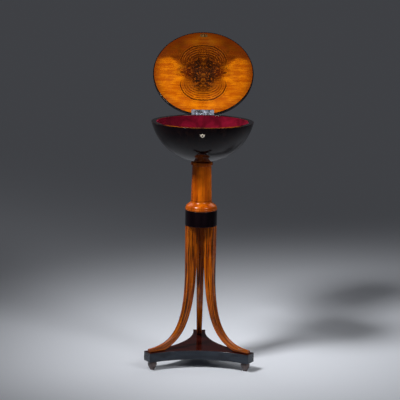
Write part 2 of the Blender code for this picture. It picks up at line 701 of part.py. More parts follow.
def bolt_outline():
    """Lock bolt seen from the front, unlocked: a tail on the case's floor and a nose beside the hook."""
    left = -LOCK_WIDTH / 2 + LOCK_SHEET + FIT_GAP
    floor = -LOCK_DEPTH + LOCK_SHEET + FIT_GAP
    nose_end = -HOOK_NOTCH - BOLT_CLEARANCE
    nose_start = nose_end - BOLT_TRAVEL
    tail_top = -HOOK_DROP - BOLT_CLEARANCE
    nose_low = -BOLT_NOSE_TOP - BOLT_NOSE_HEIGHT
    return [
        (left, floor), (BOLT_TAIL, floor), (BOLT_TAIL, tail_top), (nose_start, tail_top),
        (nose_start, nose_low), (nose_end, nose_low), (nose_end, -BOLT_NOSE_TOP), (left, -BOLT_NOSE_TOP),
    ]


def hook_outline():
    """Strike's hook seen from the front: a stem with a foot that points at the bolt's nose."""
    foot_top = -HOOK_DROP + HOOK_FOOT
    top = LID_GAP + STRIKE_THICKNESS / 2
    return [
        (-HOOK_NOTCH, -HOOK_DROP), (HOOK_STEM, -HOOK_DROP), (HOOK_STEM, top),
        (0.0, top), (0.0, foot_top), (-HOOK_NOTCH, foot_top),
    ]


def make_lock(table, pivot, paint, bowl, panel, veneer):
    """Lock let into the rim's front from above, and the hooked strike plate on the lid."""
    spot = (0.0, -LOCK_PLACE, RIM_TOP)
    half = LOCK_WIDTH / 2
    front = -LOCK_THICKNESS / 2
    room_front = front + LOCK_SHEET
    room_back = room_front + LOCK_ROOM
    cap_front = room_back + FIT_GAP
    cap_back = cap_front + LOCK_SHEET
    skin = SELVEDGE_THICKNESS
    brass = paint["brass"]

    case = block("lock_case", (-half, front, -LOCK_DEPTH), (half, room_back, -skin / 2), brass, table, spot)
    wide = SELVEDGE_WIDTH / 2
    deep = SELVEDGE_DEPTH / 2
    weld(case, block("lock_selvedge", (-wide, -deep, -skin), (wide, deep, 0.0), brass, table, spot))
    inside = half - LOCK_SHEET
    cut(case, block("lock_room", (-inside, room_front, -LOCK_DEPTH + LOCK_SHEET),
                    (inside, cap_back, -skin), brass, table, spot))
    slot_left = -HOOK_NOTCH - 2 * BOLT_CLEARANCE
    slot_right = HOOK_STEM + 2 * BOLT_CLEARANCE
    cut(case, block("lock_slot", (slot_left, room_front, -2 * skin), (slot_right, room_back, skin),
                    brass, table, spot))
    cap_top = -skin - FIT_GAP
    block("lock_cap", (-half, cap_front, -LOCK_DEPTH), (half, cap_back, cap_top), brass, table, spot)

    pocket_low = (-half - FIT_GAP, front - FIT_GAP, -LOCK_DEPTH - FIT_GAP)
    pocket_high = (half + FIT_GAP, cap_back + FIT_GAP, skin)
    cut(bowl, block("lock_pocket", pocket_low, pocket_high, brass, table, spot))
    cut(bowl, block("selvedge_seat", (-wide - FIT_GAP, -deep - FIT_GAP, -skin - FIT_GAP),
                    (wide + FIT_GAP, deep + FIT_GAP, skin), brass, table, spot))

    bolt_front = room_front + FIT_GAP
    bolt_back = room_back - FIT_GAP
    upright = (pi / 2, 0.0, 0.0)
    prism("lock_bolt", bolt_outline(), -bolt_back, -bolt_front, paint["steel"], table, spot, upright)

    strike_spot = (0.0, -LOCK_PLACE - HINGE_PLACE, -LID_GAP / 2)
    middle = (room_front + room_back) / 2
    face = LID_GAP
    strike_low = (-STRIKE_WIDTH / 2, middle - STRIKE_FRONT, face)
    strike_high = (STRIKE_WIDTH / 2, middle + STRIKE_BACK, face + STRIKE_THICKNESS)
    strike = block("lock_strike_plate", strike_low, strike_high, brass, pivot, strike_spot)
    hook = prism("strike_hook", hook_outline(), -middle - HOOK_THICKNESS / 2, -middle + HOOK_THICKNESS / 2,
                 brass, pivot, strike_spot, upright)
    weld(strike, hook)
    edge = STRIKE_WIDTH / 2 + FIT_GAP
    seat_low = (-edge, middle - STRIKE_FRONT - FIT_GAP, -face)
    seat_high = (edge, middle + STRIKE_BACK + FIT_GAP, face + STRIKE_THICKNESS + FIT_GAP)
    seat = block("strike_seat", seat_low, seat_high, brass, pivot, strike_spot)
    cut(panel, seat)
    cut(veneer, seat)

    sizes = (LOCK_SCREW_HEAD, LOCK_SCREW_SHANK, LOCK_SCREW_LENGTH)
    screw = screw_mesh("lock_screw", *sizes, brass)
    upward = (pi, 0.0, 0.0)
    for name, sign in (("left", -1.0), ("right", 1.0)):
        seat_spot = (sign * (wide - LOCK_SCREW_INSET), -LOCK_PLACE, RIM_TOP - SCREW_SUNK)
        place(f"lock_screw_{name}", screw, table, seat_spot)
        hole = screw_hole(f"lock_hole_{name}", *sizes, brass, table, seat_spot)
        cut(case, hole)
        cut(bowl, hole)
        across = sign * (STRIKE_WIDTH / 2 - STRIKE_SCREW_INSET)
        along = strike_spot[1] + middle - (STRIKE_FRONT - STRIKE_BACK) / 2
        seat_spot = (across, along, LID_GAP / 2 + SCREW_SUNK)
        place(f"strike_screw_{name}", screw, pivot, seat_spot, upward)
        hole = screw_hole(f"strike_hole_{name}", *sizes, brass, pivot, seat_spot, upward)
        cut(strike, hole)
        cut(panel, hole)
    return case


def shield_outline(grow=0.0):
    """Three-pointed shield about its middle, grown evenly for the seat that it is let into."""
    wide = ESCUTCHEON_WIDTH / 2 + grow
    tall = ESCUTCHEON_HEIGHT / 2 + grow
    valley = tall * SHIELD_VALLEY
    shoulder = tall * SHIELD_SHOULDER
    side = bezier(
        (wide, shoulder),
        (wide * SHIELD_WAIST, tall * SHIELD_WAIST_RISE),
        (wide * SHIELD_BELLY, -tall * SHIELD_BELLY_DROP),
        (0.0, -tall),
        MOULDING_STEPS,
    )
    crown = [(wide / 2, valley), (0.0, tall), (-wide / 2, valley), (-wide, shoulder)]
    return crown + [(-x, y) for x, y in side[1:]] + side[-2::-1]


def keyhole_outline():
    """Round eye with a slit below it."""
    half = KEYHOLE_SLIT / 2
    lean = asin(half / KEYHOLE_RADIUS)
    eye = arc((0.0, KEYHOLE_RISE), KEYHOLE_RADIUS, -pi / 2 + lean, 3 * pi / 2 - lean, SMALL_TURNS)
    low = KEYHOLE_RISE - KEYHOLE_LENGTH
    return eye + [(-half, low), (half, low)]


def make_escutcheon(table, paint, bowl, case):
    """Bone shield let into the front of the bowl, with the keyhole through to the lock."""
    depth = BOWL_CENTRE - RIM_TOP + ESCUTCHEON_DROP
    lean = asin(depth / BOWL_RADIUS)
    spot = (0.0, -BOWL_RADIUS * cos(lean), BOWL_CENTRE - depth)
    turn = (pi / 2 + lean, 0.0, 0.0)
    low = -ESCUTCHEON_SUNK
    shield = prism("keyhole_escutcheon", shield_outline(), low, low + ESCUTCHEON_THICKNESS,
                   paint["bone"], table, spot, turn)
    seat = prism("escutcheon_seat", shield_outline(FIT_GAP), low - FIT_GAP, ESCUTCHEON_THICKNESS,
                 paint["bone"], table, spot, turn)
    keyhole = prism("keyhole", keyhole_outline(), -KEYHOLE_REACH, KEYHOLE_REACH,
                    paint["bone"], table, spot, turn)
    cut(bowl, seat)
    for piece in (bowl, shield, case):
        cut(piece, keyhole)


def centre_footprint(table):
    """Move the whole table along Y until its box, with the lid open, is centred on the origin."""
    bpy.context.view_layer.update()
    graph = bpy.context.evaluated_depsgraph_get()
    reach = []
    for piece in bpy.context.scene.objects:
        if piece.type == "MESH" and not piece.hide_render:
            shape = piece.evaluated_get(graph)
            reach += [(shape.matrix_world @ Vector(vertex.co)).y for vertex in shape.data.vertices]
    table.location.y = -(min(reach) + max(reach)) / 2
    bpy.context.view_layer.update()


def main():
    clear_scene()
    paint = {
        "ebonised": finish("ebonised_wood", (0.012, 0.009, 0.011), 0.22),
        "velvet": finish("crimson_velvet", (0.09, 0.004, 0.012), 0.9),
        "veneer": finish("figured_walnut", (0.42, 0.13, 0.015), 0.2),
        "fruitwood": finish("turned_fruitwood", (0.36, 0.14, 0.03), 0.3),
        "leg_wood": finish("streaked_walnut", (0.22, 0.075, 0.015), 0.3),
        "base_wood": finish("dark_mahogany", (0.05, 0.018, 0.012), 0.22),
        "foot_wood": finish("dark_foot_wood", (0.05, 0.035, 0.03), 0.35),
        "dowel": finish("beech_dowel", (0.5, 0.33, 0.18), 0.6),
        "bone": finish("bone", (0.68, 0.6, 0.5), 0.4),
        "steel": finish("grey_steel", (0.2, 0.19, 0.18), 0.4, 1.0),
        "brass": finish("dull_brass", (0.45, 0.32, 0.13), 0.4, 1.0),
        "iron": finish("iron", (0.12, 0.11, 0.1), 0.5, 1.0),
    }
    table = empty("table")
    pivot = empty("lid_pivot", table, (0.0, HINGE_PLACE, HINGE_TOP), (-LID_OPEN_ANGLE, 0.0, 0.0))

    bowl = make_bowl(table, paint)
    make_lining(table, paint)
    shaft = make_column(table, paint)
    make_bowl_screw(table, paint, bowl, shaft)
    collar = make_collar(table, paint)
    base = make_base(table, paint)
    make_feet(table, paint, base)
    make_legs(table, paint, collar, base)
    panel, veneer = make_lid(pivot, paint)
    make_hinge(table, pivot, paint, bowl, panel, veneer)
    case = make_lock(table, pivot, paint, bowl, panel, veneer)
    make_escutcheon(table, paint, bowl, case)
    centre_footprint(table)

    print("column axis at y", round(table.location.y, 5))
    print("lid hinge at", [round(value, 5) for value in pivot.matrix_world.translation])
    print("rim top at", round(RIM_TOP, 5), "inner rim radius", round(RIM_INNER, 5))


main()
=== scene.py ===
# %% [markdown]
# # A round-lidded work table
#
# The object is a small antique work table. A black polished bowl, lined with crimson velvet, stands on a
# turned column. Its round lid is hinged at the back and veneered inside with figured walnut. Three sabre legs
# go from a black collar down to a three-cornered base on bun feet.
#
# The measured frame gives every piece its size and place, in metres, with the front towards -Y.

# %% Load the measured frame
import json
from math import asin, cos, pi, radians, sin, sqrt

import bmesh
import bpy
import numpy as np
from mathutils import Matrix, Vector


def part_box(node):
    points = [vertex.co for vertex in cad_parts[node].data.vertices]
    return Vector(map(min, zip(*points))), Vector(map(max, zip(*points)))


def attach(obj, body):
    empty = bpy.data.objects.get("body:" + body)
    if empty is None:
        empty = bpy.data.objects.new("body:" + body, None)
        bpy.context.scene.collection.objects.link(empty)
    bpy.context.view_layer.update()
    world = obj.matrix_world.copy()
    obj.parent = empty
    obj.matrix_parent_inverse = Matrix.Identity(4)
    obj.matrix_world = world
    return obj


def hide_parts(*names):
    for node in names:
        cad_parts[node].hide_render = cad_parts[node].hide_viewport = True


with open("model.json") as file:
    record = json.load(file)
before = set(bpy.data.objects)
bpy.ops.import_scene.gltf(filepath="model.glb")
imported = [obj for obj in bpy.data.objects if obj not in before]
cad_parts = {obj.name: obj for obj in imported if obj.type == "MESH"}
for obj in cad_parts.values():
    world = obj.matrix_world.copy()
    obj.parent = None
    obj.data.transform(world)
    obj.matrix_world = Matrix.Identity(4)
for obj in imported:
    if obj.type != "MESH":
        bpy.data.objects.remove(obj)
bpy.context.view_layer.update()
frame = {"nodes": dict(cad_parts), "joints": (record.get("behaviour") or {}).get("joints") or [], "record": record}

# %% [markdown]
# ## Camera
#
# The photograph was taken from the front, a little above the lid, with a long lens that looks down by about
# ten degrees. The distance, height and lens below were fitted to points of the table in the photograph. The
# picture was also held slightly crooked, so the camera rolls by one degree. Everything on the column shares
# one axis, which is read from the collar.

# %% Camera
def middle(node_name):
    """Point halfway between the lowest and the highest corner of a node's box."""
    low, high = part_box(node_name)
    return (low + high) / 2


def add_object(name, data):
    """New object in the scene, at the origin, that shows some data."""
    made = bpy.data.objects.new(name, data)
    bpy.context.collection.objects.link(made)
    return made


AXIS_Y = middle("collar_drum").y
CAMERA_DISTANCE = 4.8253
CAMERA_HEIGHT = 1.4193
CAMERA_LEFT = 0.0041
CAMERA_TILT = radians(10.644)
CAMERA_ROLL = 0.016
CAMERA_LENS = 145.3
CAMERA_REACH = 200.0

camera = add_object("camera", bpy.data.cameras.new("camera"))
camera.data.lens = CAMERA_LENS
camera.data.clip_end = CAMERA_REACH
camera.matrix_world = (
    Matrix.Translation((-CAMERA_LEFT, AXIS_Y - CAMERA_DISTANCE, CAMERA_HEIGHT))
    @ Matrix.Rotation(pi / 2 - CAMERA_TILT, 4, "X")
    @ Matrix.Rotation(CAMERA_ROLL, 4, "Z")
)
bpy.context.scene.camera = camera
bpy.context.scene.view_settings.view_transform = "Standard"
print("camera", camera.data.lens, "mm lens,", CAMERA_DISTANCE, "m from the column")

# %% [markdown]
# ## Building materials from nodes
#
# Every finish here is a small network of shader nodes. Typing each link by hand is long, so a few helpers add
# a node, feed its inputs and hand back its outputs. An output is wrapped in a small class, so that signs such
# as + and * add the Math nodes. A colour is written with the 0 to 255 numbers that a colour picker shows, and
# is turned into the linear light that the renderer works with.

# %% Node helpers
class Value:
    """A node's output. Each sign between values adds one Math node to the tree that they belong to."""

    def __init__(self, socket):
        self.socket = socket

    def __add__(self, other):
        return calc("ADD", self, other)

    def __sub__(self, other):
        return calc("SUBTRACT", self, other)

    def __rsub__(self, other):
        return calc("SUBTRACT", other, self)

    def __mul__(self, other):
        return calc("MULTIPLY", self, other)

    def __truediv__(self, other):
        return calc("DIVIDE", self, other)

    def __pow__(self, other):
        return calc("POWER", self, other)

    def __abs__(self):
        return calc("ABSOLUTE", self)


def feed(socket, value):
    """Link a value to an input socket, or set the socket to a constant."""
    if isinstance(value, Value):
        socket.id_data.links.new(value.socket, socket)
    else:
        socket.default_value = value


def node(kind, inputs, tree=None, **settings):
    """Add a shader node to a tree, or else to the tree that its inputs come from. Its properties are set and
    its inputs are fed by name or by number. Its outputs come back under their names and their numbers."""
    if tree is None:
        tree = next(value.socket.id_data for value in inputs.values() if isinstance(value, Value))
    made = tree.nodes.new("ShaderNode" + kind)
    for name, value in settings.items():
        setattr(made, name, value)
    for key, value in inputs.items():
        feed(made.inputs[key], value)
    named = {socket.name: Value(socket) for socket in made.outputs}
    return named | {number: Value(socket) for number, socket in enumerate(made.outputs)}


def calc(operation, *numbers):
    """One step of arithmetic on values."""
    return node("Math", dict(enumerate(numbers)), operation=operation)[0]


def fade(value, low, high):
    """0 below low, 1 above high, with a smooth step between; low may be the larger of the two."""
    inputs = {"Value": value, "From Min": low, "From Max": high}
    return node("MapRange", inputs, interpolation_type="SMOOTHSTEP")[0]


def stretch(vector, scale, shift=(0.0, 0.0, 0.0)):
    """Coordinates multiplied along each axis: a small number draws a pattern out along that axis."""
    return node("Mapping", {"Vector": vector, "Scale": scale, "Location": shift})[0]


def noise(vector, scale, detail=3.0, roughness=0.55, distortion=0.0):
    """Cloudy value between 0 and 1 with features about 1/scale in size."""
    settled = {"Scale": scale, "Detail": detail, "Roughness": roughness, "Distortion": distortion}
    return node("TexNoise", {"Vector": vector, **settled})[0]


def paint(red, green, blue):
    """Linear colour from picker numbers: each is divided by 255 and its display curve is undone."""
    shown = np.array([red, green, blue]) / 255
    linear = np.where(shown < 0.04045, shown / 12.92, ((shown + 0.055) / 1.055) ** 2.4)
    return (*linear.tolist(), 1.0)


def mix(share, first, second):
    """Colour between two others, by a share from 0 to 1."""
    return node("Mix", {0: share, 6: first, 7: second}, data_type="RGBA")[2]


def bump(height, relief):
    """Normal that tilts where the height changes; a height of 1 stands for so many metres of relief."""
    return node("Bump", {"Height": height, "Distance": relief, "Strength": 1.0})[0]


def plug(material, **sockets):
    """Feed the sockets of a material's Principled shader by name, spaces written as _."""
    shader = material.node_tree.nodes["Principled BSDF"]
    for key, value in sockets.items():
        feed(shader.inputs[key.replace("_", " ")], value)


def new_material(name, **constants):
    """Material with a Principled shader and its constant sockets."""
    material = bpy.data.materials.new(name)
    material.use_nodes = True
    plug(material, **constants)
    return material


print("node helpers ready")

# %% [markdown]
# ## Shared effects
#
# Two effects turn up on many pieces. One is wood grain: broad streaks, thin dark lines and fine pores, all
# drawn out along the wood. The other is old french polish: cloudy gloss and fine ripples. Each is one node
# group that every material places with its own stretch and its own gloss.

# %% Wood grain and polish groups
def new_group(name, inputs, outputs):
    """Empty node group: the group itself, the values that it is given, and the sockets of its results."""
    group = bpy.data.node_groups.new(name, "ShaderNodeTree")
    for key, kind in inputs.items():
        group.interface.new_socket(key, in_out="INPUT", socket_type="NodeSocket" + kind)
    for key in outputs:
        group.interface.new_socket(key, in_out="OUTPUT", socket_type="NodeSocketFloat")
    given = {socket.name: Value(socket) for socket in group.nodes.new("NodeGroupInput").outputs}
    return group, given, group.nodes.new("NodeGroupOutput").inputs


def make_wood_grain():
    """Noise on already stretched coordinates, taken at three sizes: streaks, lines and pores."""
    group, given, results = new_group("wood_grain", {"Vector": "Vector"}, ["Streak", "Line", "Pore"])
    feed(results["Streak"], fade(noise(given["Vector"], 1.0, 3.0, 0.6, 0.35), 0.33, 0.67))
    feed(results["Line"], fade(noise(given["Vector"], 3.1, 4.0, 0.6, 0.2), 0.52, 0.72))
    feed(results["Pore"], fade(noise(given["Vector"], 11.0, 2.0, 0.6), 0.55, 0.75))
    return group


def make_polish():
    """Gloss between two roughnesses by a cloudy noise; the height is a fine ripple and long rubbing marks."""
    inputs = {"Vector": "Vector", "Smoothest": "Float", "Roughest": "Float"}
    group, given, results = new_group("polish", inputs, ["Roughness", "Height"])
    cloud = fade(noise(given["Vector"], 18.0, 4.0), 0.35, 0.7)
    feed(results["Roughness"], given["Smoothest"] + cloud * (given["Roughest"] - given["Smoothest"]))
    marks = noise(stretch(given["Vector"], (900.0, 900.0, 60.0)), 1.0, 2.0)
    feed(results["Height"], noise(given["Vector"], 55.0, 2.0) + marks * 0.12)
    return group


WOOD_GRAIN = make_wood_grain()
POLISH = make_polish()


def object_coordinates(material):
    """Place in the table's own frame, in metres."""
    return node("TexCoord", {}, material.node_tree)["Object"]


def surface_coordinates(material):
    """The piece's own map: across and along the surface."""
    return node("UVMap", {}, material.node_tree, uv_map="surface")[0]


def arris_mask(material):
    """1 on the rounded edges of a piece, 0 elsewhere, from the values kept on its points."""
    return node("Attribute", {}, material.node_tree, attribute_name="arris")["Fac"]


def grain(vector):
    """The wood grain group on stretched coordinates."""
    return node("Group", {"Vector": vector}, node_tree=WOOD_GRAIN)


def polished(material, colour, smoothest, roughest, relief, height=None):
    """Feed a material its colour, the polish group's gloss, and a bump of the group's height or its own."""
    inputs = {"Vector": object_coordinates(material), "Smoothest": smoothest, "Roughest": roughest}
    gloss = node("Group", inputs, node_tree=POLISH)
    normal = bump(height or gloss["Height"], relief)
    plug(material, Base_Color=colour, Roughness=gloss["Roughness"], Normal=normal)
    return material


print("groups", [group.name for group in bpy.data.node_groups])

# %% [markdown]
# ## Floor and studio light
#
# The shadows and highlights of the photograph speak of two lamps in front. The main one stands high, 48
# degrees round to the left of the camera, and a weaker one stands 42 degrees to the right. Two weak lamps
# behind keep the back from going black. All are soft squares with a narrow spread, as with a grid in front of
# them. A weak sky fills the shadows. The floor is a plain pale sheet that runs to the horizon, where the sky
# has the floor's own tone, so that no line shows.

# %% Floor and lamps
SQUARE = np.array([(-1, -1), (1, -1), (1, 1), (-1, 1)])
FLOOR_REACH = 40.0
FLOOR_COLOUR = paint(230, 234, 242)
SKY_HORIZON = (0.0497, 0.0514, 0.0570, 1.0)
SKY_OVERHEAD = (0.066, 0.066, 0.068, 1.0)
SKY_TURN = 0.9
LAMP_SPREAD = radians(40)
LAMP_TARGET = (0.0, AXIS_Y, 0.6)
# Each lamp: degrees from the front towards +X, degrees of rise, distance and width in metres, power in watts
LAMPS = {
    "key_lamp": (-48, 51, 2.6, 0.6, 4.4),
    "side_lamp": (42, 33, 3.0, 1.0, 1.7),
    "back_lamp_left": (-140, 38, 3.0, 2.0, 0.9),
    "back_lamp_right": (140, 38, 3.0, 2.0, 0.9),
}


def add_lamp(name, turn, rise, distance, width, power):
    """Square lamp that looks at the table from the direction (sin t cos r, -cos t cos r, sin r)."""
    lamp = add_object(name, bpy.data.lights.new(name, "AREA"))
    lamp.data.size = width
    lamp.data.energy = power
    lamp.data.spread = LAMP_SPREAD
    away = np.array([sin(turn) * cos(rise), -cos(turn) * cos(rise), sin(rise)])
    lamp.location = np.array(LAMP_TARGET) + away * distance
    lamp.rotation_euler = (pi / 2 - rise, 0.0, turn)


floor_mesh = bpy.data.meshes.new("floor")
floor_corners = np.pad(SQUARE * FLOOR_REACH, [(0, 0), (0, 1)])
floor_mesh.from_pydata(floor_corners.tolist(), [], [(0, 1, 2, 3)])
floor_mesh.materials.append(new_material("floor_paint", Base_Color=FLOOR_COLOUR, Roughness=0.9))
floor = add_object("floor", floor_mesh)

sky = bpy.data.worlds.new("sky")
bpy.context.scene.world = sky
sky.use_nodes = True
upward = node("SeparateXYZ", {0: node("TexCoord", {}, sky.node_tree)["Generated"]})[2]
sky_colour = mix(fade(upward, 0.0, SKY_TURN), SKY_HORIZON, SKY_OVERHEAD)
feed(sky.node_tree.nodes["Background"].inputs["Color"], sky_colour)
for name, (turn, rise, distance, width, power) in LAMPS.items():
    add_lamp(name, radians(turn), radians(rise), distance, width, power)
print("floor", 2 * FLOOR_REACH, "m wide,", len(LAMPS), "lamps, sky overhead", SKY_OVERHEAD[:3])

# %% [markdown]
# ## Surfaces from arrays
#
# Most pieces of this table were turned on a lathe, so their shape is a profile carried round an axis. Blender
# has a Spin tool and a Screw modifier for that, but a formula gives every point at once, and its map of the
# surface comes free. Small helpers give the curves of a profile. Corners are rounded a little everywhere,
# because a real edge always catches a thin line of light.

# %% Curves
SUPPORT = 1.5
FULL_BEND = radians(9)


def bezier(start, pull_start, pull_end, end, steps):
    """Cubic curve: (1-t)^3 A + 3t(1-t)^2 B + 3t^2(1-t) C + t^3 D for t from 0 to 1."""
    t = np.linspace(0.0, 1.0, steps)[:, None]
    a, b, c, d = (np.asarray(point, float) for point in (start, pull_start, pull_end, end))
    return (1 - t) ** 3 * a + 3 * t * (1 - t) ** 2 * b + 3 * t ** 2 * (1 - t) * c + t ** 3 * d


def parabola(start, corner, end, t):
    """Curve from A to B that a corner P pulls: (1-t)^2 A + 2t(1-t) P + t^2 B."""
    return (1 - t) ** 2 * start + 2 * t * (1 - t) * corner + t ** 2 * end


def arc(centre, radius, start, stop, steps):
    """Points at one radius round a centre, from one angle to another."""
    angle = np.linspace(start, stop, steps)
    return np.column_stack([centre[0] + radius * np.cos(angle), centre[1] + radius * np.sin(angle)])


def rounded(corners, radius, closed=False, steps=6):
    """Line whose corners are parabolas between points one radius before and after each corner. A spare point
    further out on each side keeps the flats flat when shaded."""
    corners = np.asarray(corners, float)
    before = np.roll(corners, 1, axis=0) - corners
    after = np.roll(corners, -1, axis=0) - corners
    before /= np.linalg.norm(before, axis=1, keepdims=True)
    after /= np.linalg.norm(after, axis=1, keepdims=True)
    start, end = corners + before * radius, corners + after * radius
    t = np.linspace(0.0, 1.0, steps)[None, :, None]
    curve = parabola(start[:, None], corners[:, None], end[:, None], t)
    lead = (corners + before * radius * SUPPORT)[:, None]
    tail = (corners + after * radius * SUPPORT)[:, None]
    line = np.concatenate([lead, curve, tail], axis=1)
    if closed:
        return line.reshape(-1, 2)
    return np.vstack([corners[:1], line[1:-1].reshape(-1, 2), corners[-1:]])


def lengths_along(line):
    """Distance from the start of a line to each of its points."""
    return np.concatenate([[0.0], np.cumsum(np.linalg.norm(np.diff(line, axis=0), axis=1))])


def walked(line, count, inset=0.0):
    """Points at equal steps along a line, leaving out an inset at both ends."""
    along = lengths_along(line)
    step = np.linspace(inset, along[-1] - inset, count)
    return np.column_stack([np.interp(step, along, axis) for axis in line.T])


def bend_along(line):
    """How sharply a line turns at each point: the angle between its neighbours' directions, as a share of a
    full bend and at most 1."""
    step = np.diff(line, axis=0)
    heading = np.unwrap(np.arctan2(step[:, 1], step[:, 0]))
    bend = np.concatenate([[0.0], np.abs(np.diff(heading)), [0.0]])
    return np.clip(bend / FULL_BEND, 0.0, 1.0)


print("rounded square", rounded(SQUARE, 0.1, closed=True).shape)

# %% [markdown]
# A surface goes into Blender as a grid of points whose neighbours make four-sided faces. The last column of a
# turned piece lies on its first, and the points of a pole lie on each other, so doubles are merged and the
# faces turned outwards. Each piece then rides on the part of the table that moves it and stands in for the
# plain solid.

# %% Grid to piece
AXIS = np.array([0.0, AXIS_Y, 0.0])
WELD = 1e-6
SHARP = radians(40)
SHARP_CUT = radians(30)


def turned(profile, turns=144, place=AXIS):
    """Turned surface: each (radius r, height h) of the profile goes to (r sin a, r cos a, h) for a whole turn
    of a, about an axis at a place. The map goes from 0 to 1 round it, and in metres along the profile."""
    profile = np.asarray(profile, float)
    angle = np.linspace(0.0, 2 * pi, turns + 1)
    radius, height = profile[:, :1], profile[:, 1:]
    points = np.stack([radius * np.sin(angle), radius * np.cos(angle), height + 0 * angle], axis=-1)
    around, along = np.broadcast_arrays(angle / (2 * pi), lengths_along(profile)[:, None])
    arris = np.broadcast_to(bend_along(profile)[:, None], around.shape)
    return points + place, np.stack([around, along], axis=-1), arris


def close_mesh(mesh, sharp=SHARP):
    """Merge doubles, face outwards, and shade smoothly except where faces meet at more than a sharp angle."""
    shape = bmesh.new()
    shape.from_mesh(mesh)
    bmesh.ops.remove_doubles(shape, verts=shape.verts, dist=WELD)
    bmesh.ops.dissolve_degenerate(shape, edges=shape.edges, dist=WELD)
    bmesh.ops.recalc_face_normals(shape, faces=shape.faces)
    shape.to_mesh(mesh)
    shape.free()
    mesh.shade_smooth()
    mesh.set_sharp_from_angle(angle=sharp)


def dress(piece, material, body, nodes):
    """Give a piece its finish, let it ride on a body, and let it stand for the named solids."""
    piece.data.materials.clear()
    piece.data.materials.append(material)
    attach(piece, body)
    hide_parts(*nodes)
    print(piece.name, len(piece.data.polygons), "faces")
    return piece


def add_surface(name, surface, material, nodes, body="stand"):
    """Piece from a grid of points, with its map and its arris values kept on the mesh."""
    points, uv, arris = surface
    rows, columns = points.shape[:2]
    number = np.arange(rows * columns).reshape(rows, columns)
    faces = np.stack([number[:-1, :-1], number[:-1, 1:], number[1:, 1:], number[1:, :-1]], axis=-1)
    faces = faces.reshape(-1, 4)
    mesh = bpy.data.meshes.new(name)
    mesh.from_pydata(points.reshape(-1, 3).tolist(), [], faces.tolist())
    corner_uv = uv.reshape(-1, 2)[faces.ravel()]
    mesh.uv_layers.new(name="surface").uv.foreach_set("vector", corner_uv.ravel())
    mesh.attributes.new("arris", "FLOAT", "POINT").data.foreach_set("value", np.ravel(arris))
    close_mesh(mesh)
    return dress(add_object(name, mesh), material, body, nodes)


print("column axis at y =", round(AXIS_Y, 5))

# %% [markdown]
# Some pieces have seats cut out of them. A Boolean modifier takes a closed shape out of a piece, and its
# result is kept as the piece's new mesh, so that no modifier stays behind. Two shapes are enough here: a box
# and a round bar.

# %% Carving
BOX_FACES = [(0, 1, 3, 2), (4, 6, 7, 5), (0, 4, 5, 1), (2, 3, 7, 6), (0, 2, 6, 4), (1, 5, 7, 3)]


def carve(piece, cutters):
    """Take closed shapes, given as (points, faces), out of a piece, and keep the result as its mesh."""
    for points, faces in cutters:
        mesh = bpy.data.meshes.new("cutter")
        mesh.from_pydata(np.asarray(points).tolist(), [], faces)
        close_mesh(mesh)
        cutter = add_object("cutter", mesh)
        difference = piece.modifiers.new("carve", "BOOLEAN")
        difference.operation, difference.solver, difference.object = "DIFFERENCE", "EXACT", cutter
        depsgraph = bpy.context.evaluated_depsgraph_get()
        carved = bpy.data.meshes.new_from_object(piece.evaluated_get(depsgraph))
        piece.modifiers.clear()
        piece.data = carved
        bpy.data.objects.remove(cutter)
    piece.data.set_sharp_from_angle(angle=SHARP_CUT)
    print(piece.name, "carved", len(cutters), "times,", len(piece.data.polygons), "faces")


def box_shape(low, high):
    """The eight corners of a box, each coordinate low or high, and its six faces."""
    corner = np.stack(np.meshgrid([0, 1], [0, 1], [0, 1], indexing="ij"), axis=-1).reshape(-1, 3)
    return np.asarray(low) + corner * (np.asarray(high) - np.asarray(low)), BOX_FACES


def bar_shape(half_length, radius, sides=32):
    """Round bar along X about the origin: two rings of points and two end faces."""
    angle = np.linspace(0.0, 2 * pi, sides, endpoint=False)
    ring = np.stack([0 * angle, radius * np.cos(angle), radius * np.sin(angle)], axis=-1)
    points = np.vstack([ring - (half_length, 0, 0), ring + (half_length, 0, 0)])
    number = np.arange(sides)
    following = np.roll(number, -1)
    walls = np.stack([number, following, following + sides, number + sides], axis=-1)
    return points, walls.tolist() + [number[::-1].tolist(), (number + sides).tolist()]


def moved(points, matrix):
    """Points turned and shifted by a 4 x 4 matrix: p becomes R p + t."""
    matrix = np.array(matrix)
    return points @ matrix[:3, :3].T + matrix[:3, 3]


print("cutters ready, a bar has", len(bar_shape(1.0, 1.0)[0]), "points")

# %% [markdown]
# ## Ebonised wood
#
# The bowl, the lid's outside and the collar are pearwood stained black and french polished, the cheap cousin
# of ebony. Black polish is almost all reflection: a very dark colour, a thin clear coat, and a slightly
# uneven gloss. On the edges hands have rubbed the stain, so a little brown shows along the arrises, broken
# up by noise.

# %% Ebonised finish
def make_ebonised():
    """Near-black stain that turns brown where arris mask and noise are both high, under a clear coat."""
    material = new_material("ebonised", Coat_Weight=0.04, Coat_Roughness=0.04, IOR=1.26)
    place = object_coordinates(material)
    stain = mix(grain(stretch(place, (90.0, 90.0, 9.0)))["Streak"], paint(8, 2, 6), paint(17, 8, 12))
    rubbed = arris_mask(material) * fade(noise(place, 70.0, 5.0), 0.45, 0.62)
    colour = mix(rubbed * 0.55, stain, paint(84, 52, 34))
    return polished(material, colour, smoothest=0.05, roughest=0.13, relief=0.00002)


EBONISED = make_ebonised()
print("finish", EBONISED.name)

# %% [markdown]
# ## Bowl
#
# The bowl is a cap of a sphere with a thick wall and a flat rim. As a lathe profile it is two arcs about one
# centre, joined by the rim. The centre follows from the rim's radius and the bowl's depth: for a cap of
# radius r and depth d the sphere's radius is (r^2 + d^2) / 2d. The hinge leaf and the lock lie flush in the
# rim, so their seats are then cut out of it.

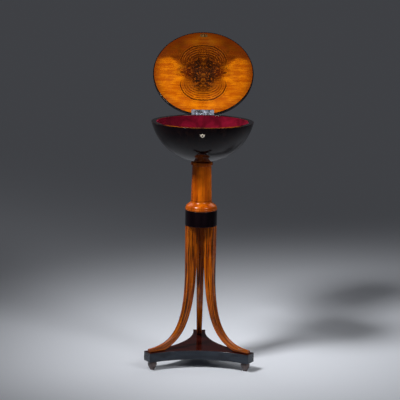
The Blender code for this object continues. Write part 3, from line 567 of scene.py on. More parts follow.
# %% Bowl
FIT = 0.0003
BOWL_DEPTH = 0.1243
BOWL_WALL = 0.0150
BOWL_TURNS = 160
OUTER_STEPS, INNER_STEPS = 70, 40
RIM_RADIUS = 0.1547
RIM_ROUND = 0.0009
RIM_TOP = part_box("bowl_shell")[1].z
BOWL_RADIUS = (RIM_RADIUS ** 2 + BOWL_DEPTH ** 2) / (2 * BOWL_DEPTH)
BOWL_CENTRE = RIM_TOP - BOWL_DEPTH + BOWL_RADIUS
BOWL_INNER = BOWL_RADIUS - BOWL_WALL
HINGE_HALF = 0.035 + FIT
LEAF_DEPTH = 0.017
LEAF_THICKNESS = 0.0015
KNUCKLE_ROOM = 0.0039
SELVEDGE = 0.0012
LOCK_ROOM = 0.01
hinge = next(joint for joint in frame["joints"] if joint["name"] == "lid_hinge")
hinge_spot = np.array(hinge["pos_m"])


def sphere_arc(radius, height, steps):
    """Arc of the bowl's section, from straight down up to a height."""
    return arc((0.0, BOWL_CENTRE), radius, -pi / 2, asin((height - BOWL_CENTRE) / radius), steps)


outer = sphere_arc(BOWL_RADIUS, RIM_TOP - 3 * RIM_ROUND, OUTER_STEPS)
inner = sphere_arc(BOWL_INNER, RIM_TOP - 3 * RIM_ROUND, INNER_STEPS)
rim_inner = sqrt(BOWL_INNER ** 2 - (BOWL_CENTRE - RIM_TOP) ** 2)
rim = rounded([outer[-1], (RIM_RADIUS, RIM_TOP), (rim_inner, RIM_TOP), inner[-1]], RIM_ROUND)
bowl_surface = turned(np.vstack([outer, rim[1:-1], inner[::-1]]), BOWL_TURNS)
bowl = add_surface("bowl", bowl_surface, EBONISED, ["bowl_shell"])

leaf_low = hinge_spot + (-HINGE_HALF, -LEAF_DEPTH - FIT, -LEAF_THICKNESS - 2 * FIT)
knuckles, knuckle_faces = bar_shape(HINGE_HALF, KNUCKLE_ROOM)
lock_low, lock_high = (np.array(corner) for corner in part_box("lock_case"))
plate_low = (lock_low[0] - FIT, lock_low[1] - FIT, RIM_TOP - SELVEDGE - FIT)
pocket_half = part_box("lock_cap")[1].x + FIT
carve(bowl, [
    box_shape(leaf_low, hinge_spot + (HINGE_HALF, LEAF_DEPTH, LEAF_DEPTH)),
    (knuckles + hinge_spot, knuckle_faces),
    box_shape(plate_low, lock_high + (FIT, FIT, LOCK_ROOM)),
    box_shape((-pocket_half, lock_low[1], lock_low[2] - FIT), (pocket_half, lock_high[1], RIM_TOP + FIT)),
])
print("bowl", round(2 * BOWL_RADIUS, 4), "m sphere")

# %% [markdown]
# ## Velvet lining
#
# Crimson silk velvet is stretched over the inside and glued. Velvet is dark where one looks along the pile
# and glows at grazing angles, which is what the sheen of the Principled shader does. Where fingers have
# pushed the pile about, it lies in lighter and darker clouds. The lining is a thin shell with a soft rolled
# edge below the rim.

# %% Lining
LINING_THICKNESS = 0.002
LINING_DROP = 0.0008
BACK_STEPS, FACE_STEPS, ROLL_STEPS = 60, 90, 9


def make_velvet():
    """Crimson mixed by two sizes of cloud, with a bump of tiny tufts and a pink sheen."""
    material = new_material("velvet", Sheen_Weight=0.55, Sheen_Roughness=0.35,
                            Sheen_Tint=paint(255, 70, 120), Specular_IOR_Level=0.1)
    place = object_coordinates(material)
    cloud = fade(noise(place, 22.0, 5.0, 0.6, 0.8), 0.32, 0.74)
    tufts = noise(place, 900.0, 3.0, 0.7)
    pile = mix(cloud, paint(84, 0, 20), paint(138, 4, 40))
    plug(material, Base_Color=mix(tufts * 0.5, pile, paint(52, 0, 12)), Roughness=cloud * -0.15 + 0.95,
         Normal=bump(tufts + cloud * 1.5, 0.0006))
    return material


cloth_outer = BOWL_INNER - FIT
edge_height = RIM_TOP - LINING_DROP - LINING_THICKNESS / 2
back = sphere_arc(cloth_outer, edge_height, BACK_STEPS)
face = sphere_arc(cloth_outer - LINING_THICKNESS, edge_height, FACE_STEPS)
roll = arc((back[-1] + face[-1]) / 2, LINING_THICKNESS / 2, 0.0, pi, ROLL_STEPS)
cloth = turned(np.vstack([back, roll[1:-1], face[::-1]]), BOWL_TURNS)
lining = add_surface("lining", cloth, make_velvet(), ["velvet_lining"])

# %% [markdown]
# ## Lid
#
# The lid is a black polished board with a rounded outer edge, and a disc of veneer glued under it. It is
# drawn closed, lying flat about the hinge's axis, and then turned back by the hinge's whole range, because
# the rest pose is open. The hinge leaf and the lock's strike plate are let into its face, so their seats are
# carved out.

# %% Lid board
LID_ROUND = 0.003
LID_ARRIS = 0.0006
LID_GAP = 0.0006
LID_TURNS = 192
lid_turn = Matrix.Translation(hinge_spot) @ Matrix.Rotation(-radians(hinge["range_deg"][1]), 4, "X")
lid_centre = np.array([0.0, AXIS_Y - hinge_spot[1], 0.0])


def lid_points(node_name):
    """Points of a node that belongs to the lid, laid back flat about the hinge's axis."""
    mesh = frame["nodes"][node_name].data
    points = np.empty(3 * len(mesh.vertices), np.float32)
    mesh.vertices.foreach_get("co", points)
    return moved(points.reshape(-1, 3), lid_turn.inverted())


def disc(node_name, high_round, low_round):
    """Turned disc with the node's radius and thickness and with rounded edges, and the map of its flat face:
    across and up the lid as it stands open, in lid radii."""
    flat = lid_points(node_name) - lid_centre
    radius, low, high = flat[:, 0].max(), flat[:, 2].min(), flat[:, 2].max()
    rounding = np.array([0.0, high_round, low_round, 0.0])[:, None]
    profile = rounded([(0.0, high), (radius, high), (radius, low), (0.0, low)], rounding)
    points, _, arris = turned(profile, LID_TURNS, place=0.0)
    return moved(points + lid_centre, lid_turn), points[..., :2] * (1, -1) / radius, arris


def lid_seats():
    """Boxes for the hinge leaf and the strike plate and a bar for the knuckles, turned back with the lid."""
    strike = lid_points("lock_strike_plate")
    leaf_high = (HINGE_HALF, LEAF_DEPTH, LID_GAP / 2 + LEAF_THICKNESS + FIT)
    leaf = box_shape((-HINGE_HALF, -LEAF_DEPTH - FIT, -LEAF_DEPTH), leaf_high)
    plate = box_shape(strike.min(axis=0) - FIT, strike.max(axis=0) + FIT)
    shapes = [leaf, bar_shape(HINGE_HALF, KNUCKLE_ROOM), plate]
    return [(moved(points, lid_turn), faces) for points, faces in shapes]


lid_board = add_surface(
    "lid_board", disc("lid_panel", LID_ROUND, LID_ARRIS), EBONISED, ["lid_panel"], "lid")
carve(lid_board, lid_seats())

# %% [markdown]
# ## Veneer
#
# Inside the lid four leaves of figured walnut are matched about two lines, so the figure repeats in all four
# quarters. Taking the absolute value of the map's two coordinates mirrors everything that is drawn with them.
# Only the mottling of the core is mirrored from left to right alone, which keeps it from looking like an
# ornament. The figure is built up in layers: bright streaked wood at the sides, painted shade that turns the
# upper part brown as if it lay in shadow, thin rings round a large oval that is pinched at its waist, a dark
# core with two upright bands and a mottled strip between them, dark wings left and right of it, a redder
# edge, and the black stain of the rim, which laps over the edge of the veneer.

# %% Veneer figure
VENEER_ARRIS = 0.0003
OVAL = (0.49, 0.66)
OVAL_POWER = 2.5
PINCH = 0.10
RING_STEP = 0.08
CORE = (0.42, 0.47)
BAND_PLACE = 0.12
WING_PLACE = 0.33
WING = (0.13, 0.10)
PAINTED_SHADE_FROM = 0.34
BORDER = 0.80
LIP = 0.986
LIP_BLUR = 0.003


def oval_distance(across, up, half_width, half_height, power):
    """Distance from the middle counted in ovals: ((x/a)^p + (y/b)^p)^(1/p); a power above 2 is boxier."""
    return ((across / half_width) ** power + (up / half_height) ** power) ** (1 / power)


def near(value, place, far, close):
    """1 within a close distance of a place and 0 beyond a far one."""
    return fade(abs(value - place), far, close)


def make_veneer():
    """Layers of colour over mirrored lid coordinates, each laid on by its own mask."""
    material = new_material("veneer", Coat_Weight=0.03, Coat_Roughness=0.08, IOR=1.24)
    split = node("SeparateXYZ", {0: surface_coordinates(material)})
    across, up = abs(split[0]), abs(split[1])
    quarter = node("CombineXYZ", {0: across, 1: up})[0]
    halves = node("CombineXYZ", {0: across, 1: split[1]})[0]
    warp = noise(quarter, 4.0, 4.0, 0.6) - 0.5
    ragged = noise(halves, 15.0, 4.0, 0.65) - 0.5
    reach = oval_distance(across, up, 1.0, 1.0, 2.0)

    streaks = grain(stretch(quarter, (3.0, 20.0, 1.0)))
    clouds = fade(noise(quarter, 5.0, 5.0, 0.6, 0.6), 0.36, 0.68)
    colour = mix(streaks["Streak"], paint(186, 88, 0), paint(230, 130, 4))
    colour = mix(clouds * 0.6, colour, paint(168, 70, 0))
    colour = mix(streaks["Line"] * 0.4, colour, paint(122, 48, 2))

    # Painted shade: above a ragged line, which is lower at the sides, the colour turns brown as if the upper part
    # of the lid lay in shadow, with less of it at the top middle.
    height = split[1] + warp * 0.12
    outside = fade(across, 0.34, 0.66)
    painted_shade = fade(height - outside * PAINTED_SHADE_FROM, -0.05, 0.3 - outside * 0.24)
    top_middle = fade(across, 0.5, 0.2) * fade(up, 0.58, 0.74)
    brown = mix(clouds, paint(70, 22, 0), paint(104, 39, 0))
    colour = mix(painted_shade * (0.84 - top_middle * 0.22), colour, brown)

    pinched = across + fade(up, 0.36, 0.0) * PINCH
    oval = oval_distance(pinched, up, *OVAL, OVAL_POWER) + warp * 0.08
    inside = fade(oval, 1.04, 0.82) * fade(up, 0.62, 0.34)
    colour = mix(inside * 0.62, colour, paint(100, 38, 1))
    slim = fade(split[1], 0.0, -0.42) * 1.1 + 1.0
    core = oval_distance(across * slim, up, *CORE, 2.0) + (warp * 0.6 + ragged * 0.7)
    colour = mix(fade(core, 1.45, 0.7) * 0.82, colour, paint(78, 30, 0))
    mottles = noise(halves, 12.0, 4.0, 0.65, 0.9)
    crowd = mottles + fade(core, 1.5, 0.3) * 0.3
    colour = mix(fade(crowd, 0.62, 0.76) * fade(core, 1.55, 0.8) * 0.88, colour, paint(48, 16, 0))

    waves = calc("COSINE", (1.0 - oval) * (2 * pi / RING_STEP))
    ringed = fade(oval, 0.5, 0.7) * fade(oval, 1.16, 0.98) * fade(up, 0.16, 0.42) * fade(ragged, -0.2, 0.1)
    colour = mix(ringed * fade(waves, 0.0, 0.9) * 0.85, colour, paint(58, 18, 0))
    colour = mix(ringed * fade(waves, -0.2, -0.9) * 0.55, colour, paint(182, 94, 4))
    outline = near(oval, 1.0, 0.036, 0.012) * fade(up, 0.1, 0.36)
    colour = mix(outline * 0.85, colour, paint(66, 25, 0))

    tall = fade(up + ragged * 0.25, 0.44, 0.3)
    wander = across + (warp * 0.12 + ragged * 0.1)
    bands = near(wander, BAND_PLACE, 0.075, 0.015) * tall * fade(mottles, 0.3, 0.52)
    colour = mix(bands * 0.75, colour, paint(30, 11, 2))
    blotches = fade(noise(halves, 13.0, 3.0, 0.6, 0.5), 0.46, 0.62)
    strip = fade(across, 0.08, 0.03) * fade(up, 0.42, 0.36) * blotches
    colour = mix(strip * 0.65, colour, paint(140, 74, 4))
    frayed = oval_distance(abs(across - WING_PLACE), up, *WING, 2.0) + ragged * 3.0
    wing = fade(frayed, 1.4, 0.2) * fade(across, 0.5, 0.42)
    colour = mix(wing * 0.8, colour, paint(78, 22, 0))
    specks = fade(core, 1.5, 0.9) * fade(noise(halves, 24.0, 3.0, 0.6, 0.8), 0.55, 0.66)
    colour = mix(specks * 0.75, colour, paint(160, 78, 4))

    edge = fade(reach, BORDER, 1.0) * fade(height, -1.8, 0.0)
    colour = mix(edge * 0.8, colour, paint(110, 40, 0))
    joint = fade(calc("MINIMUM", across, up), 0.006, 0.001)
    colour = mix(joint * 0.3, colour, paint(80, 30, 4))
    colour = mix(fade(reach, LIP - LIP_BLUR, LIP + LIP_BLUR), colour, paint(14, 7, 7))
    return polished(material, colour, smoothest=0.2, roughest=0.34, relief=0.00003)


veneer_disc = disc("lid_veneer", VENEER_ARRIS, VENEER_ARRIS)
lid_veneer = add_surface(
    "lid_figured_veneer", veneer_disc, make_veneer(), ["lid_veneer"], "lid")
carve(lid_veneer, lid_seats())

# %% [markdown]
# ## Hinge and lock
#
# The old steel of the hinge has gone grey-blue with brown spots, the brass of the lock is dull, and the wood
# screws are dark iron. All three metals mix a clean and a tarnished colour by noise, and are rougher where
# they are tarnished.

# %% Metals
def make_metal(name, clean, tarnished, smoothest, roughest, share):
    """Metal that goes from clean to tarnished in patches, with fine brush marks in the bump."""
    material = new_material(name, Metallic=0.75)
    place = object_coordinates(material)
    patches = fade(noise(place, 80.0, 5.0, 0.6, 0.5), 0.62 - share, 0.75 - share / 2)
    brushed = noise(stretch(place, (60.0, 2400.0, 2400.0)), 1.0, 2.0)
    plug(material, Base_Color=mix(patches, clean, tarnished),
         Roughness=patches * (roughest - smoothest) + smoothest,
         Normal=bump(brushed * 0.3 + patches * 0.3, 0.00004))
    return material


METALS = {
    "steel": make_metal("aged_steel", paint(150, 156, 170), paint(60, 58, 60), 0.42, 0.6, 0.26),
    "brass": make_metal("dull_brass", paint(166, 126, 70), paint(70, 48, 28), 0.3, 0.55, 0.2),
    "iron": make_metal("dark_iron", paint(96, 92, 90), paint(70, 52, 42), 0.45, 0.7, 0.1),
}
print("metals", [metal.name for metal in METALS.values()])

# %% [markdown]
# The metalwork already has its true shape in the frame: leaves with knuckles, a pin, slotted screws, a lock
# with its bolt and a hooked strike. What it lacks is softened edges, so each piece is copied, its loose
# triangles are merged into flat faces, and a small bevel is put on.

# %% Metal pieces
EDGE_EASE = 0.00012
FLAT = radians(1)
EASE_SEGMENTS = 2
BEVEL_FROM = radians(45)
bodies = frame["record"]["behaviour"]["bodies"]
body_of = {node_name: body for body, names in bodies.items() for node_name in names}
slot_of = {part["node"]: part["material_slot"] for part in frame["record"]["subparts"]}


def softened(node_name):
    """Copy of a node with its triangles merged into flat faces and its edges bevelled."""
    mesh = frame["nodes"][node_name].data.copy()
    close_mesh(mesh, SHARP_CUT)
    shape = bmesh.new()
    shape.from_mesh(mesh)
    bmesh.ops.dissolve_limit(shape, angle_limit=FLAT, verts=shape.verts, edges=shape.edges)
    shape.to_mesh(mesh)
    shape.free()
    piece = add_object(node_name + "_metal", mesh)
    bevel = piece.modifiers.new("ease", "BEVEL")
    bevel.width, bevel.segments, bevel.harden_normals = EDGE_EASE, EASE_SEGMENTS, True
    bevel.limit_method, bevel.angle_limit = "ANGLE", BEVEL_FROM
    slot = slot_of[node_name]
    return dress(piece, METALS[slot], body_of[node_name], [node_name])


for node_name in sorted(slot_of):
    if slot_of[node_name] in METALS:
        softened(node_name)

# %% [markdown]
# ## Escutcheon
#
# A small shield of bone with three points is let into the bowl's front round the keyhole. It is a ring-shaped
# surface: every row lies between the shield's outline and the keyhole's, and a table of heights makes the
# domed face, the edges and the back. The whole is bent to the bowl by taking off (x^2 + y^2) / 2R.

# %% Bone escutcheon
SHIELD_HALF = (0.00825, 0.0069)
SHIELD_CORNERS = [
    (0, 1), (-0.5, 0.42), (-1, 0.8), (-0.74, -0.35), (0, -1), (0.74, -0.35), (1, 0.8), (0.5, 0.42)]
SHIELD_ROUNDS = [0.0007, 0.0005, 0.0006, 0.0028, 0.0006, 0.0028, 0.0006, 0.0005]
SHIELD_SHARES = [0, 0, 0.05, 0.14, 0.5, 0.84, 0.95, 1, 1, 0]
SHIELD_HEIGHTS = [-0.9, 0.2, 0.6, 0.85, 1.1, 1.0, 0.85, 0.5, -0.9, -0.9]
SHIELD_STEPS = 200
MILLIMETRES = 1000
KEYHOLE_EYE = 0.0014
KEYHOLE_RISE = 0.0012
KEYHOLE_SLIT = 0.0006
KEYHOLE_FOOT = -0.003
EYE_STEPS = 16


def keyhole_line():
    """Round eye with a slit below it, anticlockwise from the top."""
    lean = asin(KEYHOLE_SLIT / KEYHOLE_EYE)
    eye = (0.0, KEYHOLE_RISE)
    left = arc(eye, KEYHOLE_EYE, pi / 2, 3 * pi / 2 - lean, EYE_STEPS)
    right = arc(eye, KEYHOLE_EYE, -pi / 2 + lean, pi / 2, EYE_STEPS)
    return np.vstack([left, [(-KEYHOLE_SLIT, KEYHOLE_FOOT), (KEYHOLE_SLIT, KEYHOLE_FOOT)], right[:-1]])


def make_bone():
    """Cream bone with fine dark pores drawn out along it and a yellowed edge."""
    material = new_material("bone", Coat_Weight=0.2, Coat_Roughness=0.2)
    pores = grain(stretch(object_coordinates(material), (900.0, 900.0, 220.0)))
    colour = mix(pores["Streak"], paint(252, 244, 228), paint(242, 228, 204))
    colour = mix(pores["Line"] * 0.35, colour, paint(150, 122, 88))
    colour = mix(arris_mask(material) * 0.3, colour, paint(140, 108, 72))
    return polished(material, colour, smoothest=0.3, roughest=0.45, relief=0.00004, height=pores["Line"])


def shield_surface():
    """Rows between the outlines, raised by the table of heights, bent to the bowl and put on its front."""
    corners = np.array(SHIELD_CORNERS) * SHIELD_HALF
    shield = rounded(corners, np.array(SHIELD_ROUNDS)[:, None], closed=True)
    lines = shield, keyhole_line()
    outline, hole = (walked(np.vstack([line, line[:1]]), SHIELD_STEPS + 1) for line in lines)
    share, height = np.array(SHIELD_SHARES)[:, None], np.array(SHIELD_HEIGHTS)[:, None] / MILLIMETRES
    flat = outline + (hole - outline) * share[..., None]
    rise = height - (flat ** 2).sum(axis=-1) / (2 * BOWL_RADIUS)
    lean = asin((BOWL_CENTRE - middle("keyhole_escutcheon").z) / BOWL_RADIUS)
    outward = np.array([0.0, -cos(lean), -sin(lean)])
    upward = np.array([0.0, -sin(lean), cos(lean)])
    spot = AXIS + (0.0, 0.0, BOWL_CENTRE) + BOWL_RADIUS * outward
    points = spot + flat[..., :1] * (1.0, 0.0, 0.0) + flat[..., 1:] * upward + rise[..., None] * outward
    arris = np.broadcast_to((share < 0.1) | (share > 0.9), rise.shape).astype(float)
    return points, flat, arris


add_surface("bone_shield", shield_surface(), make_bone(), ["keyhole_escutcheon"])

# %% [markdown]
# ## Turned column
#
# The column is plain fruitwood, turned and polished. Solid wood has its grain in depth, so the grain is taken
# from the place in space and drawn out along the height, which makes it run on from one piece to the next.

# %% Fruitwood
def make_fruitwood():
    """Amber wood with upright streaks and thin brown lines, and a dark tone along the profile's rounded edges and
    bends.
    """
    material = new_material("fruitwood", Coat_Weight=0.08, Coat_Roughness=0.06, IOR=1.32)
    place = object_coordinates(material)
    wood = grain(stretch(place, (46.0, 46.0, 3.0)))
    clouds = fade(noise(place, 28.0, 3.0), 0.35, 0.7)
    colour = mix(wood["Streak"], paint(182, 76, 2), paint(224, 110, 6))
    colour = mix(clouds * 0.4, colour, paint(118, 46, 0))
    colour = mix(wood["Line"] * 0.65, colour, paint(84, 32, 0))
    colour = mix(wood["Pore"] * 0.3, colour, paint(70, 30, 6))
    colour = mix(arris_mask(material) * 0.35, colour, paint(70, 30, 8))
    return polished(material, colour, smoothest=0.14, roughest=0.28, relief=0.00004)


FRUITWOOD = make_fruitwood()
print("finish", FRUITWOOD.name)

# %% [markdown]
# Below the bowl come a ring that carries it, a slightly tapered shaft, and a foot that swells in an ogee to a
# bead. Each is one profile of radius and height. The ring's top is hollowed to fit the bowl's sphere.

# %% Column
BORE = 0.0123
RING_ROUND = 0.0028
SHAFT_TOP_RADIUS = 0.0293
SHAFT_FOOT_RADIUS = 0.0319
SHAFT_ARRIS = 0.0006
OGEE_TURN = 0.0107
OGEE_RADIUS = 0.0477
BEAD_HEIGHT = 0.0066
DISH_STEPS, OGEE_STEPS, BEAD_STEPS = 8, 40, 18


def half_width(node_name):
    """Half of a node's width, which is the radius of a turned piece."""
    low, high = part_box(node_name)
    return (high.x - low.x) / 2


def ring_profile():
    """Band with rounded edges; its top follows the bowl's sphere down to the bore."""
    low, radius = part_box("column_ring")[0].z, half_width("column_ring")
    seat = BOWL_RADIUS + FIT
    top = BOWL_CENTRE - sqrt(seat ** 2 - radius ** 2)
    corners = [(BORE, low), (radius, low), (radius, top), (radius - 2 * RING_ROUND, top - RING_ROUND / 4)]
    inward = np.linspace(corners[-1][0] - RING_ROUND, BORE, DISH_STEPS)
    dish = np.column_stack([inward, BOWL_CENTRE - np.sqrt(seat ** 2 - inward ** 2)])
    edges = rounded(corners, np.array([0, RING_ROUND, RING_ROUND, 0])[:, None])
    return np.vstack([edges, dish, corners[:1]])


def shaft_profile(low, high):
    """Straight taper between two heights with rounded ends."""
    corners = [(0, low), (SHAFT_FOOT_RADIUS, low), (SHAFT_TOP_RADIUS, high), (0, high)]
    return rounded(corners, SHAFT_ARRIS)


def foot_profile(low, high):
    """S-shaped curve from the shaft's radius out to the ogee's, then a half-round bead."""
    turn_height = high - OGEE_TURN
    ogee = bezier((SHAFT_FOOT_RADIUS, high), (SHAFT_FOOT_RADIUS, turn_height), (OGEE_RADIUS, turn_height),
                  (OGEE_RADIUS, low + BEAD_HEIGHT), OGEE_STEPS)
    swing = np.linspace(pi / 2, -pi / 2, BEAD_STEPS)
    swell = (half_width("column_foot") - OGEE_RADIUS) * np.cos(swing)
    bead = np.column_stack([OGEE_RADIUS + swell, low + BEAD_HEIGHT * (1 + np.sin(swing)) / 2])
    return np.vstack([[(0.0, high)], ogee, bead[1:], [(0.0, low)]])


foot_low, foot_high = (corner.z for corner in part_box("column_foot"))
shaft = shaft_profile(foot_high + FIT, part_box("column_ring")[0].z - FIT)
add_surface("column_band", turned(ring_profile()), FRUITWOOD, ["column_ring"])
add_surface("column_stem", turned(shaft), FRUITWOOD, ["column_shaft"])
add_surface("column_ogee", turned(foot_profile(foot_low, foot_high)), FRUITWOOD, ["column_foot"])

# %% [markdown]
# ## Collar
#
# The black drum under the column holds the three legs. It is the plainest turning of all, with small rounded
# arrises.

# %% Collar
COLLAR_ARRIS = 0.0009
drum_low, drum_high = (corner.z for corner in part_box("collar_drum"))
drum_radius = half_width("collar_drum")
drum_corners = [(0, drum_low), (drum_radius, drum_low), (drum_radius, drum_high), (0, drum_high)]
add_surface("collar", turned(rounded(drum_corners, COLLAR_ARRIS)), EBONISED, ["collar_drum"])

# %% [markdown]
# ## Sabre legs
#
# The legs are walnut with short dark dashes. Their map follows the leg, so the streaky grain runs down it and
# bends with it.

# %% Streaked walnut
def make_leg_wood():
    """Orange-brown wood with dark dashes, a few millimetres wide, along the leg, and painted shade on the arrises.
    """
    material = new_material("leg_walnut", Coat_Weight=0.08, Coat_Roughness=0.08, IOR=1.33)
    along = surface_coordinates(material)
    streak = grain(stretch(along, (95.0, 8.0, 1.0)))["Streak"]
    fine = grain(stretch(along, (260.0, 20.0, 1.0), (3.7, 1.3, 0.0)))
    dashes = fade(noise(stretch(along, (310.0, 9.0, 1.0)), 1.0, 2.0, 0.5, 0.2), 0.5, 0.585)
    colour = mix(streak, paint(142, 58, 0), paint(206, 106, 6))
    colour = mix(dashes * 0.88, colour, paint(40, 12, 0))
    colour = mix(fine["Line"] * 0.6, colour, paint(70, 26, 2))
    colour = mix(fine["Pore"] * 0.25, colour, paint(52, 20, 6))
    # Painted shade: the rounded arrises are darkened, as where the leg's side faces turn into shadow.
    colour = mix(arris_mask(material) * 0.5, colour, paint(46, 18, 8))
    return polished(material, colour, smoothest=0.16, roughest=0.32, relief=0.00004)


LEG_WALNUT = make_leg_wood()
print("finish", LEG_WALNUT.name)

# %% [markdown]
# Each leg hangs straight from the collar and sweeps out to a flat toe, and narrows on the way. Its side view
# lies between two curves, an outer and an inner one. Both are walked at the same pace, and at every step a
# rounded rectangle spans from one to the other.

# %% Legs
LEG_OUTER = 0.0483
LEG_INNER = 0.0173
LEG_WIDTHS = (0.0262, 0.0155)
TOE_RADIUS = 0.1752
HEEL_RADIUS = 0.1238
TOE_THICKNESS = 0.0076
OUTER_STRAIGHT = 0.138
OUTER_PULLS = (0.1744, 0.0846, 0.0070)
INNER_STRAIGHT = 0.056
INNER_PULLS = (0.248, 0.0598, 0.0320)
LEG_ARRIS = 0.0016
LEG_STEPS = 110
CURVE_STEPS = 120
CORNER_STEPS = 5
LEG_ANGLES = {"back": radians(90), "front_left": radians(210), "front_right": radians(330)}
leg_low, leg_high = (corner.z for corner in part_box("leg_back"))


def sweep(radius, straight, pulls, end_radius, end_height):
    """Straight piece down from the leg's top, and a cubic curve on to its end: the first pull goes down from
    the start of the curve, the other two go inwards and up from its end."""
    down, pull_in, rise = pulls
    start = leg_high - straight
    curve = bezier((radius, start), (radius, start - down), (end_radius - pull_in, end_height + rise),
                   (end_radius, end_height), CURVE_STEPS)
    return np.vstack([[(radius, leg_high)], curve])


def leg_sides():
    """Outer and inner curve of a leg's side view, as (distance from the column, height), from top to toe."""
    outer = sweep(LEG_OUTER, OUTER_STRAIGHT, OUTER_PULLS, TOE_RADIUS, leg_low + TOE_THICKNESS)
    inner = sweep(LEG_INNER, INNER_STRAIGHT, INNER_PULLS, HEEL_RADIUS, leg_low)
    return walked(outer, LEG_STEPS), walked(np.vstack([inner, [(TOE_RADIUS, leg_low)]]), LEG_STEPS)


def leg_surface(angle):
    """Rounded rectangle, carried down the leg. Across it runs from the inner to the outer curve, sideways it
    is as wide as the leg there, and its ends are closed by shrinking the last ones to their middles."""
    outer, inner = leg_sides()
    wide = np.interp(outer[:, 1], [leg_low, leg_high], LEG_WIDTHS[::-1])
    deep = np.linalg.norm(outer - inner, axis=1)
    corner = np.repeat(SQUARE, CORNER_STEPS + 2, axis=0)
    turn = rounded(SQUARE, 1.0, closed=True, steps=CORNER_STEPS) - corner
    section = corner * np.stack([deep / 2, wide / 2], axis=-1)[:, None, :] + turn * LEG_ARRIS
    section = np.concatenate([section, section[:, :1]], axis=1)
    section = np.concatenate([section[:1] * 0, section[:1], section, section[-1:], section[-1:] * 0])
    index = np.clip(np.arange(-2, LEG_STEPS + 2), 0, LEG_STEPS - 1)
    side = ((outer - inner) / deep[:, None])[index]
    centre = ((outer + inner) / 2)[index]
    flat = centre[:, None] + section[..., :1] * side[:, None]
    heading, across = np.array([cos(angle), sin(angle)]), np.array([-sin(angle), cos(angle)])
    plan = flat[..., :1] * heading + section[..., 1:] * across
    points = np.concatenate([plan, flat[..., 1:]], axis=-1) + AXIS
    girth = lengths_along(section[LEG_STEPS // 2])
    around, along = np.broadcast_arrays(girth + angle, lengths_along(centre)[:, None])
    edge = np.append(np.tile([0] + [1] * CORNER_STEPS + [0], len(SQUARE)), 0.0)
    return points, np.stack([around, along], axis=-1), np.broadcast_to(edge, around.shape)


for name, angle in LEG_ANGLES.items():
    add_surface("sabre_leg_" + name, leg_surface(angle), LEG_WALNUT, ["leg_" + name])

# %% [markdown]
# ## Base plate
#
# The legs stand on a thick plate. Its top is dark red-brown and glossy, and its sides are blackened, with a
# blue-grey painted into their colour as a reflection, so the finish changes with the height.

# %% Base finish
TOP_BLEND = (0.0005, 0.0001)
base_low, base_high = (corner.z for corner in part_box("base_plate"))


def make_base_wood():
    """Red-brown figured top that turns to black with a painted blue-grey reflection below the top edge, by height.
    """
    material = new_material("base_wood", Coat_Weight=0.04, Coat_Roughness=0.05, IOR=1.29)
    place = object_coordinates(material)
    height = node("SeparateXYZ", {0: place})[2]
    wood = grain(stretch(place, (9.0, 70.0, 70.0)))
    top = mix(wood["Streak"], paint(40, 10, 9), paint(60, 18, 13))
    top = mix(wood["Line"] * 0.6, top, paint(34, 12, 8))
    # Blackened sides, with a blue-grey painted into the colour as a reflection.
    black = mix(wood["Streak"], paint(34, 38, 46), paint(47, 53, 62))
    colour = mix(fade(height, base_high - TOP_BLEND[0], base_high - TOP_BLEND[1]), black, top)
    rubbed = arris_mask(material) * fade(noise(place, 60.0, 5.0), 0.45, 0.62)
    colour = mix(rubbed * 0.25, colour, paint(88, 70, 60))
    return polished(material, colour, smoothest=0.1, roughest=0.24, relief=0.00003)


BASE_WOOD = make_base_wood()
print("finish", BASE_WOOD.name)

# %% [markdown]
# The plate has three cut corners and three hollow sides. Its outline is three arcs joined by short straights.
# The outline is repeated at different heights and insets, which gives the side, the rounded edges and the
# flat faces.

# %% Base
CORNER_RADIUS = 0.1822
CORNER_WIDTH = 0.0396
WAIST = 0.0624
BASE_ROUND = 0.0018
BASE_INSET = 0.02
FACE_RINGS = 6
SIDE_STEPS = 42
SIDE_ANGLES = (radians(-90), radians(30), radians(150))


def base_side(angle):
    """One hollow side: an arc whose middle is the waist and whose ends are the corners of two cut ends."""
    half = CORNER_WIDTH / 2
    reach = CORNER_RADIUS * cos(pi / 3) + half * sin(pi / 3)
    side = CORNER_RADIUS * sin(pi / 3) - half * cos(pi / 3)
    hollow = reach - WAIST
    radius = (side ** 2 + hollow ** 2) / (2 * hollow)
    spread = np.arctan2(side, radius - hollow)
    centre = (WAIST + radius) * np.array([cos(angle), sin(angle)])
    return arc(centre, radius, angle + pi + spread, angle + pi - spread, SIDE_STEPS)


def eased_outline(lines, radius, steps=7):
    """Lines joined into one closed outline: each end is cut back by a radius, and parabolas lead from it to
    the straight that goes over to the next line."""
    trimmed = [walked(line, len(line), radius) for line in lines]
    t = np.linspace(0.0, 1.0, steps)[1:-1, None]
    outline = []
    for number, line in enumerate(lines):
        following = (number + 1) % len(lines)
        end, start = line[-1], lines[following][0]
        ease = (start - end) / np.linalg.norm(start - end) * radius
        outline += [trimmed[number], parabola(trimmed[number][-1], end, end + ease, t),
                    [end + ease, start - ease], parabola(start - ease, start, trimmed[following][0], t)]
    return np.vstack(outline)


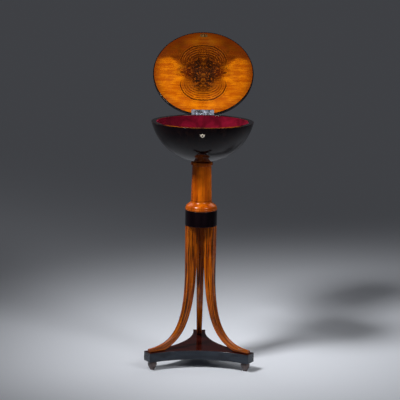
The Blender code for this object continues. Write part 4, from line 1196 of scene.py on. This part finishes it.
def plate_surface():
    """The outline at each row's height, moved inwards along its own normals by the row's inset; the faces
    shrink on to the middle."""
    outline = eased_outline([base_side(angle) for angle in SIDE_ANGLES], BASE_ROUND)
    ahead = np.roll(outline, -1, axis=0) - np.roll(outline, 1, axis=0)
    inward = np.stack([-ahead[:, 1], ahead[:, 0]], axis=-1) / np.linalg.norm(ahead, axis=1, keepdims=True)
    corners = [(BASE_INSET, base_low), (0.0, base_low), (0.0, base_high), (BASE_INSET, base_high)]
    edge = rounded(corners, BASE_ROUND)[1:-1]
    rings = outline + inward * edge[:, :1, None]
    shares = np.linspace(1.0, 0.0, FACE_RINGS + 1)[1:, None, None]
    flat = np.concatenate([rings[:1] * shares[::-1], rings, rings[-1:] * shares])
    flat = np.concatenate([flat, flat[:, :1]], axis=1)
    heights = np.pad(edge[:, 1], FACE_RINGS, constant_values=(base_low, base_high))
    tall = np.broadcast_to(heights[:, None, None], flat.shape[:2] + (1,))
    bend = np.pad(bend_along(edge), FACE_RINGS)
    return np.concatenate([flat, tall], axis=-1) + AXIS, flat, np.broadcast_to(bend[:, None], flat.shape[:2])


add_surface("base", plate_surface(), BASE_WOOD, ["base_plate"])

# %% [markdown]
# ## Bun feet
#
# Three small turned feet lift the base off the floor. Their profile is two curves that meet at the belly, and
# the lower one tapers to the floor. They are dark stained wood, rubbed a little paler here and there, with
# faint rings from the lathe.

# %% Feet
FOOT_TOP_RADIUS = 0.0124
FOOT_BELLY_RADIUS = 0.0137
FOOT_FLOOR_RADIUS = 0.0062
FOOT_BELLY_DROP = 0.0075
FOOT_FLARE = 0.2
FOOT_TURNS = 48
LOWER_STEPS, UPPER_STEPS = 24, 16


def make_foot_wood():
    """Dark stain with lathe rings by height and paler rubbed patches."""
    material = new_material("foot_wood", Coat_Weight=0.3, Coat_Roughness=0.15)
    place = object_coordinates(material)
    wood = grain(stretch(place, (120.0, 120.0, 14.0)))
    rings = noise(stretch(place, (6.0, 6.0, 700.0)), 1.0, 3.0)
    colour = mix(wood["Streak"], paint(52, 40, 40), paint(90, 70, 66))
    colour = mix(wood["Line"] * 0.5, colour, paint(30, 20, 20))
    colour = mix(fade(rings, 0.55, 0.75) * 0.3, colour, paint(96, 76, 68))
    return polished(material, colour, smoothest=0.22, roughest=0.4, relief=0.00006, height=rings)


def bun_profile(high):
    """Curve from the floor out to the belly, and another from there in to the top."""
    belly = high - FOOT_BELLY_DROP
    flare = FOOT_FLARE * (FOOT_BELLY_RADIUS - FOOT_FLOOR_RADIUS)
    lower = bezier((FOOT_FLOOR_RADIUS, 0), (FOOT_FLOOR_RADIUS + flare, belly / 4),
                   (FOOT_BELLY_RADIUS, belly / 2), (FOOT_BELLY_RADIUS, belly), LOWER_STEPS)
    upper = bezier((FOOT_BELLY_RADIUS, belly), (FOOT_BELLY_RADIUS, high - FOOT_BELLY_DROP / 2),
                   (FOOT_TOP_RADIUS, high), (FOOT_TOP_RADIUS, high), UPPER_STEPS)
    return np.vstack([[(0.0, 0.0)], lower, upper[1:], [(0.0, high)]])


FOOT_WOOD = make_foot_wood()
for name in LEG_ANGLES:
    place = np.array(middle("bun_foot_" + name)) * (1, 1, 0)
    bun = turned(bun_profile(base_low - FIT), FOOT_TURNS, place)
    add_surface("turned_foot_" + name, bun, FOOT_WOOD, ["bun_foot_" + name])

# %% [markdown]
# ## Dowels
#
# The last pieces are out of sight: beech dowels that tie the legs to the collar. Their solids are right as
# they are, so they stay and only get a finish.

# %% Dowels
def make_beech():
    """Pale wood with fine flecks along the dowel."""
    material = new_material("beech", Roughness=0.6)
    flecks = grain(stretch(object_coordinates(material), (400.0, 400.0, 60.0)))
    colour = mix(flecks["Streak"], paint(196, 160, 116), paint(178, 138, 94))
    plug(material, Base_Color=mix(flecks["Line"] * 0.5, colour, paint(140, 98, 62)))
    return material


BEECH = make_beech()
for node_name, slot in slot_of.items():
    if slot == "dowel":
        frame["nodes"][node_name].data.materials.clear()
        frame["nodes"][node_name].data.materials.append(BEECH)
        print(node_name, "dressed in", BEECH.name)
